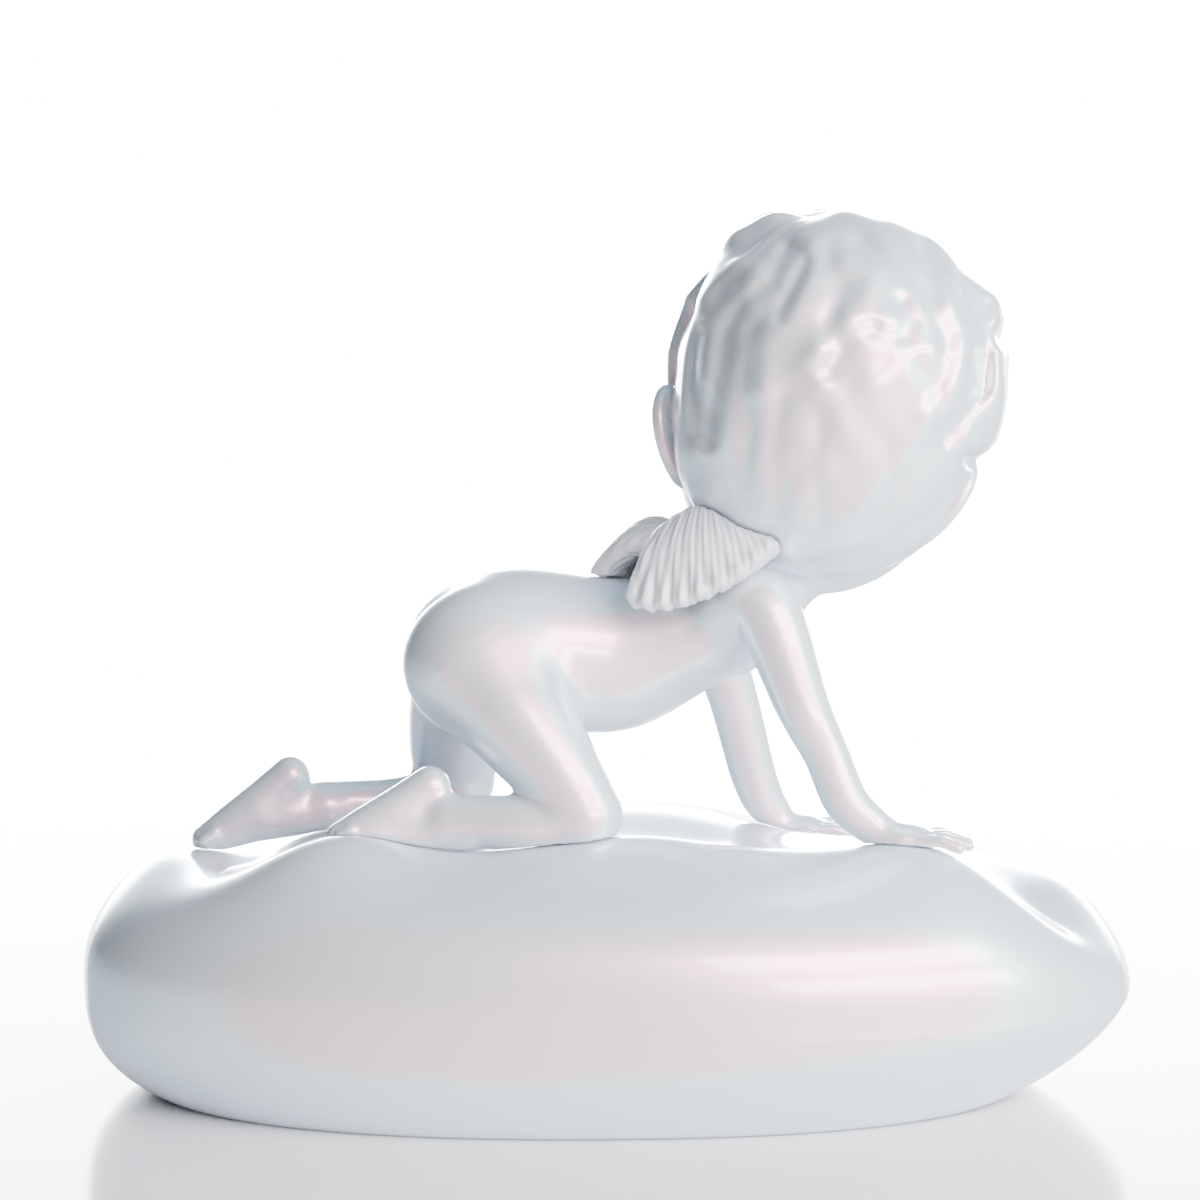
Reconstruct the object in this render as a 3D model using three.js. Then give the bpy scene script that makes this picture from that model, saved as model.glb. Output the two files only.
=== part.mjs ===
// A cherub that crawls over a cloud-shaped base: a pearl-lacquered resin casting with two small wings
// fixed to its back. Millimetres, +Z up. The origin is the middle of the flat underside, +X runs along
// the base towards the hands, and -Y is the side of the figure's right hand.
import * as THREE from 'three';

// Driving dimensions
const BASE_LENGTH = 283;
const BASE_WIDTH = 160;
const PLAN_POWER = 2.25;      // 2 is an ellipse, higher is squarer
const GIRTH = 29.5;           // height of the widest line
const GIRTH_FALL = 0.014;     // the girth is lower at the hands' end, per mm of x
const UNDERCUT = 44;          // depth of the rounded underside before the floor cuts it
const GAP = 0.45;             // air between pieces that touch

const HEAD_AT = [59.5, 7, 184];
const HEAD_TURN = { yaw: -3, pitch: 3, roll: 13 };
const RIGHT_WING_AT = [29, 1, 137];
const LEFT_WING_AT = [27.5, 1, 135.3];
const WING_TURN = { yaw: 25, pitch: -9, roll: 0 };
const FEATHERS = 10;

const NET_STEP = 1.5;         // spacing of the grid that finds the figure's surface
const WING_STEP = 0.8;
const FIGURE_FACES = 5600;    // triangles kept after thinning
const WING_FACES = 800;

// Distance functions
// Each gives the distance from a point to a shape's surface, negative inside it. smin joins two shapes
// with a fillet about k wide, smax cuts one by another with a rounded edge.
function smin(a, b, k) {
  const h = Math.max(k - Math.abs(a - b), 0) / k;
  return Math.min(a, b) - h * h * k / 4;
}

const smax = (a, b, k) => -smin(-a, -b, k);

const clamp = (v, a, b) => Math.min(Math.max(v, a), b);

function ramp(a, b, v) {
  const t = clamp((v - a) / (b - a), 0, 1);
  return t * t * (3 - 2 * t);
}

// A frame turned by yaw about Z, then pitch about its x, then roll about its y, in degrees.
function frame(at, { yaw = 0, pitch = 0, roll = 0 }) {
  const rad = Math.PI / 180;
  const e = new THREE.Matrix4().makeRotationZ(yaw * rad)
    .multiply(new THREE.Matrix4().makeRotationX(pitch * rad))
    .multiply(new THREE.Matrix4().makeRotationY(roll * rad)).elements;
  return { at, e };
}

// The point seen from inside a frame.
function into(f, p) {
  const x = p[0] - f.at[0];
  const y = p[1] - f.at[1];
  const z = p[2] - f.at[2];
  const e = f.e;
  return [
    x * e[0] + y * e[1] + z * e[2],
    x * e[4] + y * e[5] + z * e[6],
    x * e[8] + y * e[9] + z * e[10],
  ];
}

function ellipsoid(p, c, r) {
  const x = (p[0] - c[0]) / r[0];
  const y = (p[1] - c[1]) / r[1];
  const z = (p[2] - c[2]) / r[2];
  const k0 = Math.hypot(x, y, z) + 1e-9;
  const k1 = Math.hypot(x / r[0], y / r[1], z / r[2]) + 1e-9;
  return k0 * (k0 - 1) / k1;
}

// A round bar through points, with a radius at each point.
function bar(points, radii) {
  const parts = [];
  for (let i = 0; i + 1 < points.length; i++) {
    const a = points[i];
    const d = points[i + 1].map((v, k) => v - a[k]);
    parts.push({ a, d, dd: d[0] * d[0] + d[1] * d[1] + d[2] * d[2], ra: radii[i], rb: radii[i + 1] });
  }
  const box = new THREE.Box3().setFromPoints(points.map((q) => new THREE.Vector3(...q)));
  const ball = box.getBoundingSphere(new THREE.Sphere());
  const reach = ball.radius + Math.max(...radii);
  return { parts, c: ball.center, reach };
}

// The same with a smooth curve through the points.
function tube(points, radii, n = 5) {
  const q = points.map((v, i) => [...v, radii[i]]);
  const end = (a, b) => a.map((v, i) => 2 * v - b[i]);
  const k = [end(q[0], q[1]), ...q, end(q[q.length - 1], q[q.length - 2])];
  const out = [];
  for (let i = 1; i + 2 < k.length; i++) {
    for (let j = 0; j < n; j++) {
      const t = j / n;
      out.push(k[i].map((v, m) => 0.5 * (2 * v + (k[i + 1][m] - k[i - 1][m]) * t
        + (2 * k[i - 1][m] - 5 * v + 4 * k[i + 1][m] - k[i + 2][m]) * t * t
        + (3 * v - k[i - 1][m] - 3 * k[i + 1][m] + k[i + 2][m]) * t ** 3)));
    }
  }
  out.push(q[q.length - 1]);
  return bar(out.map((v) => v.slice(0, 3)), out.map((v) => v[3]));
}

const FAR = 16;

function limb(p, b) {
  const far = Math.hypot(p[0] - b.c.x, p[1] - b.c.y, p[2] - b.c.z) - b.reach;
  if (far > FAR) return far;
  let best = 1e9;
  for (const { a, d, dd, ra, rb } of b.parts) {
    const x = p[0] - a[0];
    const y = p[1] - a[1];
    const z = p[2] - a[2];
    const t = clamp((x * d[0] + y * d[1] + z * d[2]) / dd, 0, 1);
    best = Math.min(best, Math.hypot(x - t * d[0], y - t * d[1], z - t * d[2]) - ra - (rb - ra) * t);
  }
  return best;
}

// Cloud base
// The plan is a superellipse. Over it the top is a shallow dome with soft swellings and hollows that
// turns down through a rounded rim to the girth, and the underside curves in to a flat foot.
const HALF_L = BASE_LENGTH / 2;
const HALF_W = BASE_WIDTH / 2;

function mound(x, y, cx, cy, sx, sy, turned = 0) {
  const a = turned * Math.PI / 180;
  const u = Math.cos(a) * (x - cx) + Math.sin(a) * (y - cy);
  const v = Math.cos(a) * (y - cy) - Math.sin(a) * (x - cx);
  return Math.exp(-((u / sx) ** 2) - (v / sy) ** 2);
}

function crown(x, y) {
  return 66.5 - 0.0003 * x * x
    - 0.0045 * Math.max(x - 90, 0) ** 2
    + 11.0 * mound(x, y, -72, -40, 26, 18)         // near ridge, in front of the right foot
    + 3.5 * mound(x, y, -20, -40, 22, 16)          // under the right shin
    + 6.0 * mound(x, y, 8, -36, 22, 16)            // under the right knee
    + 4.5 * mound(x, y, 40, -40, 26, 18)           // near lip of the dish
    + 9.0 * mound(x, y, 84, -36, 24, 18)           // under the right hand
    + 3.0 * mound(x, y, 8, 32, 45, 26)             // far rim
    - 6.5 * mound(x, y, 62, 42, 26, 20)            // slope under the left hand
    - 1.0 * mound(x, y, 30, -8, 18, 20)            // dish below the belly
    - 4.5 * mound(x, y, -98, 10, 14, 26)           // trough at the left foot's toes
    + 6.0 * mound(x, y, -127, 14, 16, 30)          // lip of the feet's end
    - 5.0 * mound(x, y, 108, 2, 13, 32, -14)       // scoop in the hands' end
    - 6.0 * mound(x, y, 118, -22, 13, 14)          // notch where the scoop opens to the front
    + 6.5 * mound(x, y, 129, 18, 19, 26);          // lip behind the scoop
}

const girth = (x) => GIRTH - GIRTH_FALL * x;

const planRadius = (c, s) =>
  (Math.abs(c / HALF_L) ** PLAN_POWER + Math.abs(s / HALF_W) ** PLAN_POWER) ** (-1 / PLAN_POWER);

function topAt(x, y) {
  const q = Math.min(Math.hypot(x, y) / (planRadius(...heading(x, y))), 1);
  return girth(x) + (crown(x, y) - girth(x)) * (1 - q ** 6) ** 0.4;
}

function heading(x, y) {
  const r = Math.hypot(x, y) || 1;
  return [x / r, y / r];
}

// The underside is full at the feet's end and drawn in at the hands' end.
const fullness = (rimX) => 0.55 + 0.0014 * rimX + 0.000008 * rimX ** 2;

const undersideAt = (rimX, q) => girth(q * rimX) - UNDERCUT * (1 - q ** 3) ** fullness(rimX);

function makeBase(around) {
  const topRings = [0.985, 0.95, 0.9, 0.84, 0.77, 0.69, 0.6, 0.5, 0.4, 0.3, 0.2, 0.1];
  const sideSteps = [0, 0.3, 0.57, 0.8, 0.94, 1];
  const rings = [...sideSteps.map(() => []), ...topRings.map(() => [])];
  for (let i = 0; i < around; i++) {
    const a = 2 * Math.PI * i / around;
    const [c, s] = [Math.cos(a), Math.sin(a)];
    const r = planRadius(c, s);
    let lo = 0.5;
    let hi = 0.999;
    for (let k = 0; k < 40; k++) {
      const mid = (lo + hi) / 2;
      if (undersideAt(r * c, mid) < 0) lo = mid;
      else hi = mid;
    }
    sideSteps.forEach((w, k) => {
      const q = hi + (1 - hi) * w;
      const z = k === 0 ? 0 : undersideAt(r * c, Math.min(q, 1));
      rings[k].push([q * r * c, q * r * s, Math.max(z, 0)]);
    });
    topRings.forEach((q, k) => {
      rings[sideSteps.length + k].push([q * r * c, q * r * s, topAt(q * r * c, q * r * s)]);
    });
  }
  const verts = [[0, 0, 0], ...rings.flat(), [0, 0, topAt(0, 0)]];
  const tris = [];
  const id = (ring, i) => 1 + ring * around + (i % around);
  for (let i = 0; i < around; i++) {
    tris.push([0, id(0, i + 1), id(0, i)]);
    for (let k = 0; k + 1 < rings.length; k++) {
      tris.push([id(k, i), id(k, i + 1), id(k + 1, i + 1)]);
      tris.push([id(k, i), id(k + 1, i + 1), id(k + 1, i)]);
    }
    tris.push([id(rings.length - 1, i), id(rings.length - 1, i + 1), verts.length - 1]);
  }
  return { verts, tris };
}

// Hair
// The back of the hair is drawn as strokes: grooves and ridges given as points across and up from the
// head's centre in the view from behind, which looks down by 7.5 degrees, then a width and a depth.
const LOOK = 7.5 * Math.PI / 180;
const GROOVES = [
  [[[-12, 40], [-17, 30], [-24, 26], [-28, 18], [-31, 3], [-33, -10]], 2.6, 1.7],
  [[[-8, 36], [-13, 26], [-15, 21]], 2.0, 1.2],
  [[[24, 41.5], [33, 30], [38.5, 17], [38.5, 5], [33, -3], [28, -10]], 2.4, 1.4],
  [[[40.5, 26], [40.5, 13], [39, 2.5], [31, -8]], 2.0, 1.2],
  [[[7, 41.5], [15.5, 36], [24.5, 26], [28, 14], [26, 2], [28, -10]], 2.6, 1.0],
  [[[-22, 18], [-24, 5], [-22, -8], [-24, -21]], 2.6, 0.9],
  [[[-35, 18], [-37.5, 5], [-36, -8]], 2.0, 1.0],
  [[[-14.5, 0], [-16.5, -13], [-14.5, -26], [-15.5, -36]], 2.6, 0.7],
  [[[-4.5, -5], [-6, -18], [-3.5, -31]], 2.6, 0.7],
  [[[17, 25], [19, 20], [16.5, 17]], 2.6, 1.2],
  [[[0.5, 28.5], [-2.5, 18], [0.5, 13], [-2.5, 7]], 2.8, 1.1],
  [[[9, 18], [18, 14], [23, 4], [18, -5]], 3.0, 0.9],
  [[[11.5, -10], [14.5, -21], [12.5, -31]], 3.0, 0.6],
  [[[37.5, 37.5], [43, 33.5], [47, 32]], 3.4, 4.0],
  [[[48, 19], [44.5, 17.5]], 2.6, 3.5],
  [[[44, -8], [37, -9], [31, -9]], 1.8, 3.2],
];
const RIDGES = [
  [[[-26, 36], [-22, 34], [-24, 28]], 3.6, 1.6],
  [[[-6, 41.5], [-6, 32.5], [-10.5, 23.5], [-18.5, 14], [-20, 2.5]], 3.6, 1.2],
  [[[2.5, 36], [9.5, 33], [8, 26]], 3.4, 1.0],
  [[[3.5, 21], [11.5, 21], [16.5, 12.5], [24.5, 12.5]], 3.4, 1.1],
  [[[29, 32.5], [34, 18], [32.5, 7], [25.5, -5]], 3.2, 1.2],
  [[[42.5, 27], [42.5, 18]], 3.4, 2.2],
  [[[43.5, 12.5], [43, 1], [38.5, -8], [37, -12]], 3.6, 2.0],
  [[[-6, 12.5], [-9.5, 7], [-6, 2]], 3.0, 1.0],
  [[[-31, 37], [-34.5, 28.5]], 3.2, 1.4],
];

function stroke(a, b, points, width) {
  let best = 1e9;
  for (let i = 0; i + 1 < points.length; i++) {
    const [ax, ay] = points[i];
    const dx = points[i + 1][0] - ax;
    const dy = points[i + 1][1] - ay;
    const t = clamp(((a - ax) * dx + (b - ay) * dy) / (dx * dx + dy * dy), 0, 1);
    best = Math.min(best, (a - ax - t * dx) ** 2 + (b - ay - t * dy) ** 2);
  }
  return Math.exp(-best / width ** 2);
}

function hairRelief(p, q) {
  const across = p[0] - HEAD_AT[0];
  const up = p[2] * Math.cos(LOOK) + p[1] * Math.sin(LOOK) - 182.4;
  const behind = ramp(12, -8, q[1]);
  let drawn = 0;
  if (behind > 0) {
    for (const [points, width, depth] of GROOVES) drawn -= depth * stroke(across, up, points, width);
    for (const [points, width, depth] of RIDGES) drawn += depth * stroke(across, up, points, width);
  }
  // strands that run down from the crown
  const c = [q[0], q[1] + 3, q[2] - 6];
  const around = Math.atan2(c[0], -c[1]);
  const down = Math.acos(clamp(c[2] / (Math.hypot(...c) + 1e-9), -1, 1));
  const wave = 0.35 * Math.sin(6.2 * down + 1.3 * Math.sin(2 * around));
  const strand = 0.55 * Math.cos(15 * around + 5 * wave) + 0.28 * Math.cos(26 * around + 7 * wave + 1);
  const nape = 1 - 0.75 * behind * ramp(-20, -34, q[2]);
  const lumps = 0.7 * Math.sin(q[0] * 0.3 + 1.7 * Math.sin(q[2] * 0.13))
    * Math.sin(q[2] * 0.21 + 1 + Math.sin(q[0] * 0.15)) * Math.cos(q[1] * 0.12);
  return drawn * behind + 0.8 * strand * ramp(0.25, 0.8, down) * nape + lumps;
}

// Head
const head = frame(HEAD_AT, HEAD_TURN);
const bothSides = (points) => [-1, 1].map((s) => points.map(([x, y, z]) => [s * x, y, z]));

const BROWS = bothSides([[22, 31, -4], [14, 37.2, -1.2], [5, 38.4, -2.5]]).map((v) => bar(v, [2.2, 2.4, 1.8]));
const LASHES = bothSides([[8, 35.4, -15], [11.5, 37.6, -17.0], [15.5, 37.9, -17.8], [19.5, 36.4, -16.8],
  [22.5, 33.2, -14.2]]).map((v) => tube(v, [0.5, 0.7, 0.7, 0.7, 0.5], 3));
const NOSE = bar([[0, 37, -8], [0, 39.6, -15], [0, 42.6, -20.5]], [2.2, 2.5, 3.3]);
const UPPER_LIP = bothSides([[1.6, 38.9, -29.4], [7.4, 36.2, -30.8]]).map((v) => bar(v, [1.9, 0.8]));
const LOWER_LIP = bar([[-5.6, 36.7, -33], [0, 38.4, -33.8], [5.6, 36.7, -33]], [1.1, 2.1, 1.1]);
const MOUTH = bar([[-8.2, 36.6, -30.6], [0, 41.2, -31.4], [8.2, 36.6, -30.6]], [0.45, 0.55, 0.45]);
const TEMPLE_LOCK = bar([[-33, 14, 29], [-40.8, 12, 17], [-42.3, 10, 2], [-41, 8, -8]], [5, 4, 3, 2.5]);

const EARS = [
  { s: -1, f: frame([-36.4, -1, -17.5], { yaw: -28, roll: -24 }) },
  { s: 1, f: frame([34.8, -1, -18], { yaw: 12, roll: 24 }) },
];
const EAR_RIM = tube([[-0.5, 6, 4], [1.2, 4, 10.6], [1.8, -2, 12.2], [2, -6.4, 7.5], [2, -7, 0],
  [1.8, -4.4, -7.5], [1, 0.5, -12], [0, 4, -9]], [1.7, 2, 2.2, 2.2, 2.1, 2.1, 2.6, 1.8], 3);

function ear(q, { s, f }, d) {
  const e = into(f, q);
  e[0] *= s;
  if (Math.hypot(...e) > 30) return d;
  const plate = smin(ellipsoid(e, [0.8, 0.5, 0], [2.4, 7, 12]), limb(e, EAR_RIM), 1.5);
  return smin(d, smax(plate, -ellipsoid(e, [4.2, 0.8, 0], [3.2, 4.8, 8.5]), 1.5), 2.2);
}

function headAt(p) {
  const q = into(head, p);
  const far = Math.hypot(q[0], q[1], q[2]) - 62;
  if (far > FAR) return far;
  let d = ellipsoid(q, [0, 7, -19], [36, 31, 34.5]);
  d = smin(d, ellipsoid(q, [1, -2, 8], [40, 41, 40]), 10);
  for (const s of [-1, 1]) d = smin(d, ellipsoid(q, [s * 17, 23, -27], [13, 12.5, 12]), 8);
  d = smin(d, ellipsoid(q, [0, 31.5, -42], [8.5, 7.5, 6.5]), 8);
  if (q[1] > 20) {
    for (const s of [0, 1]) {
      const side = s * 2 - 1;
      d = smax(d, -ellipsoid(q, [side * 15, 40, -12.5], [10, 5, 7]), 5);
      d = smin(d, limb(q, BROWS[s]), 5);
      d = smin(d, ellipsoid(q, [side * 15, 31, -14], [8, 6.4, 6.4]), 1.5);
      d = smax(d, -limb(q, LASHES[s]), 0.6);
      d = smin(d, limb(q, UPPER_LIP[s]), 1.6);
    }
    d = smin(d, limb(q, NOSE), 4);
    for (const s of [-1, 1]) d = smin(d, ellipsoid(q, [s * 3.9, 40, -22.2], [2.7, 3, 2.3]), 2);
    d = smin(d, limb(q, LOWER_LIP), 1.8);
    d = smax(d, -limb(q, MOUTH), 0.8);
  }
  let cap = ellipsoid(q, [2, -3, 9], [43.8, 44, 43]);
  cap = smin(cap, ellipsoid(q, [0, -7, -16], [36, 32, 30]), 16);
  cap = smin(cap, ellipsoid(q, [-24, 4, 33], [13, 13, 13]), 6);
  cap = smin(cap, ellipsoid(q, [27, -2, 29.5], [13, 13, 13]), 6);
  cap = smin(cap, ellipsoid(q, [-8, 12, 37], [13, 13, 13]), 6);
  cap = smin(cap, limb(q, TEMPLE_LOCK), 2.5);
  cap -= hairRelief(p, q);
  const hairline = (q[1] - 22) * 0.62 - (q[2] - 4) * 0.78
    + 2 * Math.sin(q[0] * 0.34 + 0.6) + 1.2 * Math.sin(q[0] * 0.8);
  cap = smax(cap, smin(hairline, (q[1] + 8) * 0.9, 5), 3);
  d = smin(d, cap, 2);
  for (const e of EARS) d = ear(q, e, d);
  return d;
}

// Body
const LIMBS = {
  neck: tube([[32, 4, 128], [44.5, 6, 138], [HEAD_AT[0] - 4.5, HEAD_AT[1], HEAD_AT[2] - 32]],
    [14.5, 13, 14]),
  rightArm: tube([[34, -14, 131], [41.5, -20.5, 132], [51, -28, 108], [57.3, -29.3, 95], [63, -30, 82],
    [71, -30, 74.5]], [10, 9.2, 7.1, 6.0, 5.9, 5]),
  leftArm: tube([[21, 14, 129], [23, 23.5, 131], [33.5, 30.5, 105], [41.5, 34, 76], [47, 35, 66]],
    [10, 8.8, 7, 6.2, 5]),
  rightThigh: tube([[-34, -13, 115], [-23.5, -21, 103], [-11, -29, 87], [-6, -31, 79]], [17, 14.6, 10.9, 9.8]),
  leftThigh: tube([[-34, 13, 115], [-39.5, 24, 102], [-42.3, 36, 86], [-42, 39, 77]], [17, 14.5, 12.6, 10.5]),
  rightShin: tube([[-6, -31, 77], [-22, -31, 76.2], [-41, -28, 77]], [9, 7.8, 6.3]),
  leftShin: tube([[-42.5, 39, 73.5], [-56, 35, 70.5], [-78, 30, 70.5]], [9.5, 7.0, 6.2]),
};
const CHEST = frame([26, 3, 124], { yaw: 20, roll: -14 });

function torso(p) {
  let d = ellipsoid(p, [-25.5, 0, 119.2], [22.5, 24, 20.8]);
  d = smin(d, ellipsoid(p, [-2, 1, 116.4], [27, 20, 20.8]), 12);
  d = smin(d, ellipsoid(into(CHEST, p), [0, 0, 0], [22, 21.5, 14.5]), 12);
  for (const s of [-1, 1]) d = smin(d, ellipsoid(p, [-33.5, s * 11.5, 116.8], [20.3, 15.5, 19.4]), 5);
  return d;
}

// A foot lies on its upper side: the heel is up, the toes reach back and down to the base.
function makeFoot(heel, toe, ankle) {
  const run = toe.map((v, i) => v - heel[i]);
  const size = Math.hypot(...run);
  const on = (t, dx, dy, dz) => [dx, dy, dz].map((v, i) => heel[i] + run[i] * t + v);
  const toes = [-2, -1, 0, 1, 2].map((k) => {
    const lift = 0.6 - 0.25 * Math.abs(k);
    return bar([on(1 - 3 / size, 0.5, k * 1.9, lift), on(1 + 1.2 / size, 0.5, k * 1.9, lift)], [1.7, 1.5]);
  });
  return {
    sole: tube([heel, on(0.35, 0, 0, -0.6), on(0.7, 0, 0, -0.8), toe], [5.4, 5, 4.4, 2.4], 4),
    instep: bar([ankle, on(0.33, 0, 0, -7), on(1, 0, 0, -1.5)], [6, 5.6, 2.4]),
    toes,
  };
}

const RIGHT_FOOT = makeFoot([-46.8, -25.5, 85.3], [-70.5, -28.5, 73], [-38, -28, 74]);
const LEFT_FOOT = makeFoot([-87.6, 26, 79.2], [-111, 24, 62.5], [-78, 29, 69]);

function footAt(p, f) {
  let d = smin(limb(p, f.sole), limb(p, f.instep), 6);
  for (const t of f.toes) d = smin(d, limb(p, t), 1);
  return d;
}

// A palm with four fingers forward and a thumb on the inner side (s = -1: right hand).
function makeHand(at, yaw, s) {
  const fingers = [[-4.6, 10], [-1.6, 12.5], [1.5, 12.5], [4.4, 10.5]].map(([y, long]) =>
    bar([[4.5, y, 0.2], [4.5 + long / 2, y * 1.25, 0.8], [4.5 + long, y * 1.45, -1.2]], [1.9, 1.6, 1.4]));
  const thumb = bar([[-3, -s * 5, -0.5], [3, -s * 9.5, -0.6], [7, -s * 10.8, -1.2]], [2.4, 1.9, 1.5]);
  return { f: frame(at, { yaw }), fingers, thumb };
}

const RIGHT_HAND = makeHand([78, -31, 72.2], -4, -1);
const LEFT_HAND = makeHand([53.5, 36, 62.2], 6, 1);

function handAt(p, hand) {
  const q = into(hand.f, p);
  const far = Math.hypot(...q) - 26;
  if (far > FAR) return far;
  let d = ellipsoid(q, [0, 0, 0], [8.5, 6.5, 4.2]);
  for (const b of hand.fingers) d = smin(d, limb(q, b), 1.2);
  return smin(d, limb(q, hand.thumb), 1.6);
}

function figureAt(p) {
  let d = smin(torso(p), limb(p, LIMBS.neck), 8);
  d = smin(d, limb(p, LIMBS.rightArm), 6);
  d = smin(d, limb(p, LIMBS.leftArm), 6);
  d = smin(d, smin(limb(p, LIMBS.rightThigh), limb(p, LIMBS.rightShin), 3), 7);
  d = smin(d, smin(limb(p, LIMBS.leftThigh), limb(p, LIMBS.leftShin), 3), 7);
  d = smin(d, footAt(p, RIGHT_FOOT), 3);
  d = smin(d, footAt(p, LEFT_FOOT), 3);
  d = smin(d, handAt(p, RIGHT_HAND), 3);
  d = smin(d, handAt(p, LEFT_HAND), 3);
  return smin(d, headAt(p), 3);
}

// Wings
// A wing is a fan of feathers. Each rises from the root on the shoulder blade to the crest and bends
// down and out to a rounded tip. x is forward, y outwards and z up in the wing's frame.
const rightWingFrame = frame(RIGHT_WING_AT, WING_TURN);
const leftWingFrame = frame(LEFT_WING_AT, WING_TURN);
const TIPS = [[-30.5, 12.5, -3], [-26, 22.5, -10.5], [-6, 34.5, 2.2], [5, 28, 9.8]];
const CREST = [[-18.3, 9.5, 12], [-11, 14, 18.2], [-5, 15.5, 19.3], [-0.5, 17, 8.8]];
const UNDER_SHIFT = [0.3, -1.7, -0.6];  // the lower feathers, seen between the tips
const ROOT = [-3, 6, 2];

function bezier(k, t) {
  const u = 1 - t;
  const share = [u ** 3, 3 * t * u * u, 3 * t * t * u, t ** 3];
  return [0, 1, 2].map((i) => share.reduce((sum, w, j) => sum + w * k[j][i], 0));
}

// Whole feathers lie on top, and one lower feather lies between each two of them.
const FAN = Array.from({ length: 2 * FEATHERS - 1 }, (_, n) => {
  const k = n / 2;
  const t = k / (FEATHERS - 1);
  const shift = k % 1 ? UNDER_SHIFT : [0, 0, 0];
  const tip = bezier(TIPS, t).map((v, i) => v + shift[i]);
  const crest = bezier(CREST, t).map((v, i) => v + shift[i]);
  const arch = 1 - 0.4 * t - 1.2 * Math.max(t - 0.75, 0);
  const bend = [-1.2, 2.2, 2.8].map((v, i) => (tip[i] + crest[i]) / 2 + v * arch);
  const rise = [0, 0, 2].map((v, i) => (ROOT[i] + crest[i]) / 2 + v);
  const tipRadius = 1.6 + 1.1 * t * t + (k === 1 ? 0.5 : 0);
  return tube([ROOT, rise, crest, bend, tip], [2.2, 1.9, 1.9, 2.1, tipRadius], 4);
});

function wingAt(p, side) {
  const q = into(side > 0 ? leftWingFrame : rightWingFrame, p);
  q[1] *= side;
  let d = 1e9;
  for (const feather of FAN) d = smin(d, limb(q, feather), 1.2);
  return smax(d, 0.6 - figureAt(p), 0.4);
}

// From distance to faces
// One vertex goes in each grid cell that the surface crosses, at the mean of the crossings of the
// cell's edges, and one quad round each grid edge that it crosses.
const BLOCK = 4;

function surfaceNet(at, lo, hi, step) {
  const n = lo.map((v, i) => Math.ceil((hi[i] - v) / step / BLOCK) * BLOCK + 1);
  const index = (i, j, k) => (i * n[1] + j) * n[2] + k;
  const field = new Float32Array(n[0] * n[1] * n[2]).fill(NaN);
  const value = (i, j, k) => {
    const a = index(i, j, k);
    if (Number.isNaN(field[a])) field[a] = at([lo[0] + i * step, lo[1] + j * step, lo[2] + k * step]);
    return field[a];
  };
  const blocks = [];
  const half = BLOCK * step / 2;
  for (let i = 0; i < n[0] - 1; i += BLOCK) {
    for (let j = 0; j < n[1] - 1; j += BLOCK) {
      for (let k = 0; k < n[2] - 1; k += BLOCK) {
        const middle = [lo[0] + i * step + half, lo[1] + j * step + half, lo[2] + k * step + half];
        if (Math.abs(at(middle)) < half * 2.8) blocks.push([i, j, k]);
      }
    }
  }
  const cornersOf = (i, j, k) => {
    const out = [];
    for (let m = 0; m < 8; m++) out.push(value(i + (m & 1), j + (m >> 1 & 1), k + (m >> 2)));
    return out;
  };
  let net;
  for (let round = 0; round < 20; round++) {
    net = joinCells(field, index, blocks, cornersOf, lo, step);
    const knots = sharedTwice(net.tris);
    if (knots.size === 0) break;
    // where two sheets meet in one cell, its nearest outer corner is filled in
    for (const v of knots) {
      const [i, j, k] = net.cells[v];
      const corner = cornersOf(i, j, k);
      const outer = corner.map((c, m) => [c, m]).filter(([c]) => c >= 0).sort((a, b) => a[0] - b[0]);
      if (outer.length === 0) continue;
      const m = outer[0][1];
      field[index(i + (m & 1), j + (m >> 1 & 1), k + (m >> 2))] = -0.05;
    }
  }
  return { verts: net.verts, tris: net.tris };
}

function joinCells(field, index, blocks, cornersOf, lo, step) {
  const ids = new Int32Array(field.length).fill(-1);
  const verts = [];
  const cells = [];
  for (const [I, J, K] of blocks) {
    for (let c = 0; c < BLOCK ** 3; c++) {
      const i = I + (c % BLOCK);
      const j = J + (Math.floor(c / BLOCK) % BLOCK);
      const k = K + Math.floor(c / BLOCK / BLOCK);
      const corner = cornersOf(i, j, k);
      const inside = corner.filter((v) => v < 0).length;
      if (inside === 0 || inside === 8) continue;
      const sum = [0, 0, 0];
      let count = 0;
      for (let m = 0; m < 8; m++) {
        for (const bit of [1, 2, 4]) {
          const w = m | bit;
          if (w === m || (corner[m] < 0) === (corner[w] < 0)) continue;
          const t = corner[m] / (corner[m] - corner[w]);
          sum[0] += (m & 1) + (bit === 1 ? t : 0);
          sum[1] += (m >> 1 & 1) + (bit === 2 ? t : 0);
          sum[2] += (m >> 2) + (bit === 4 ? t : 0);
          count++;
        }
      }
      ids[index(i, j, k)] = verts.length;
      verts.push([i, j, k].map((v, a) => lo[a] + step * (v + sum[a] / count)));
      cells.push([i, j, k]);
    }
  }
  const tris = [];
  for (const cell of cells) {
    const here = field[index(...cell)] < 0;
    for (let a = 0; a < 3; a++) {
      const next = [...cell];
      next[a]++;
      if (here === field[index(...next)] < 0) continue;
      const [u, v] = [(a + 1) % 3, (a + 2) % 3];
      const quad = [[1, 1], [0, 1], [0, 0], [1, 0]].map(([du, dv]) => {
        const c = [...cell];
        c[u] -= du;
        c[v] -= dv;
        return ids[index(...c)];
      });
      if (!here) quad.reverse();
      const span = (m, w) => Math.hypot(...verts[quad[m]].map((x, i) => x - verts[quad[w]][i]));
      const [m0, m1, m2, m3] = quad;
      if (span(0, 2) < span(1, 3)) tris.push([m0, m1, m2], [m0, m2, m3]);
      else tris.push([m0, m1, m3], [m1, m2, m3]);
    }
  }
  return { verts, cells, tris };
}

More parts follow.
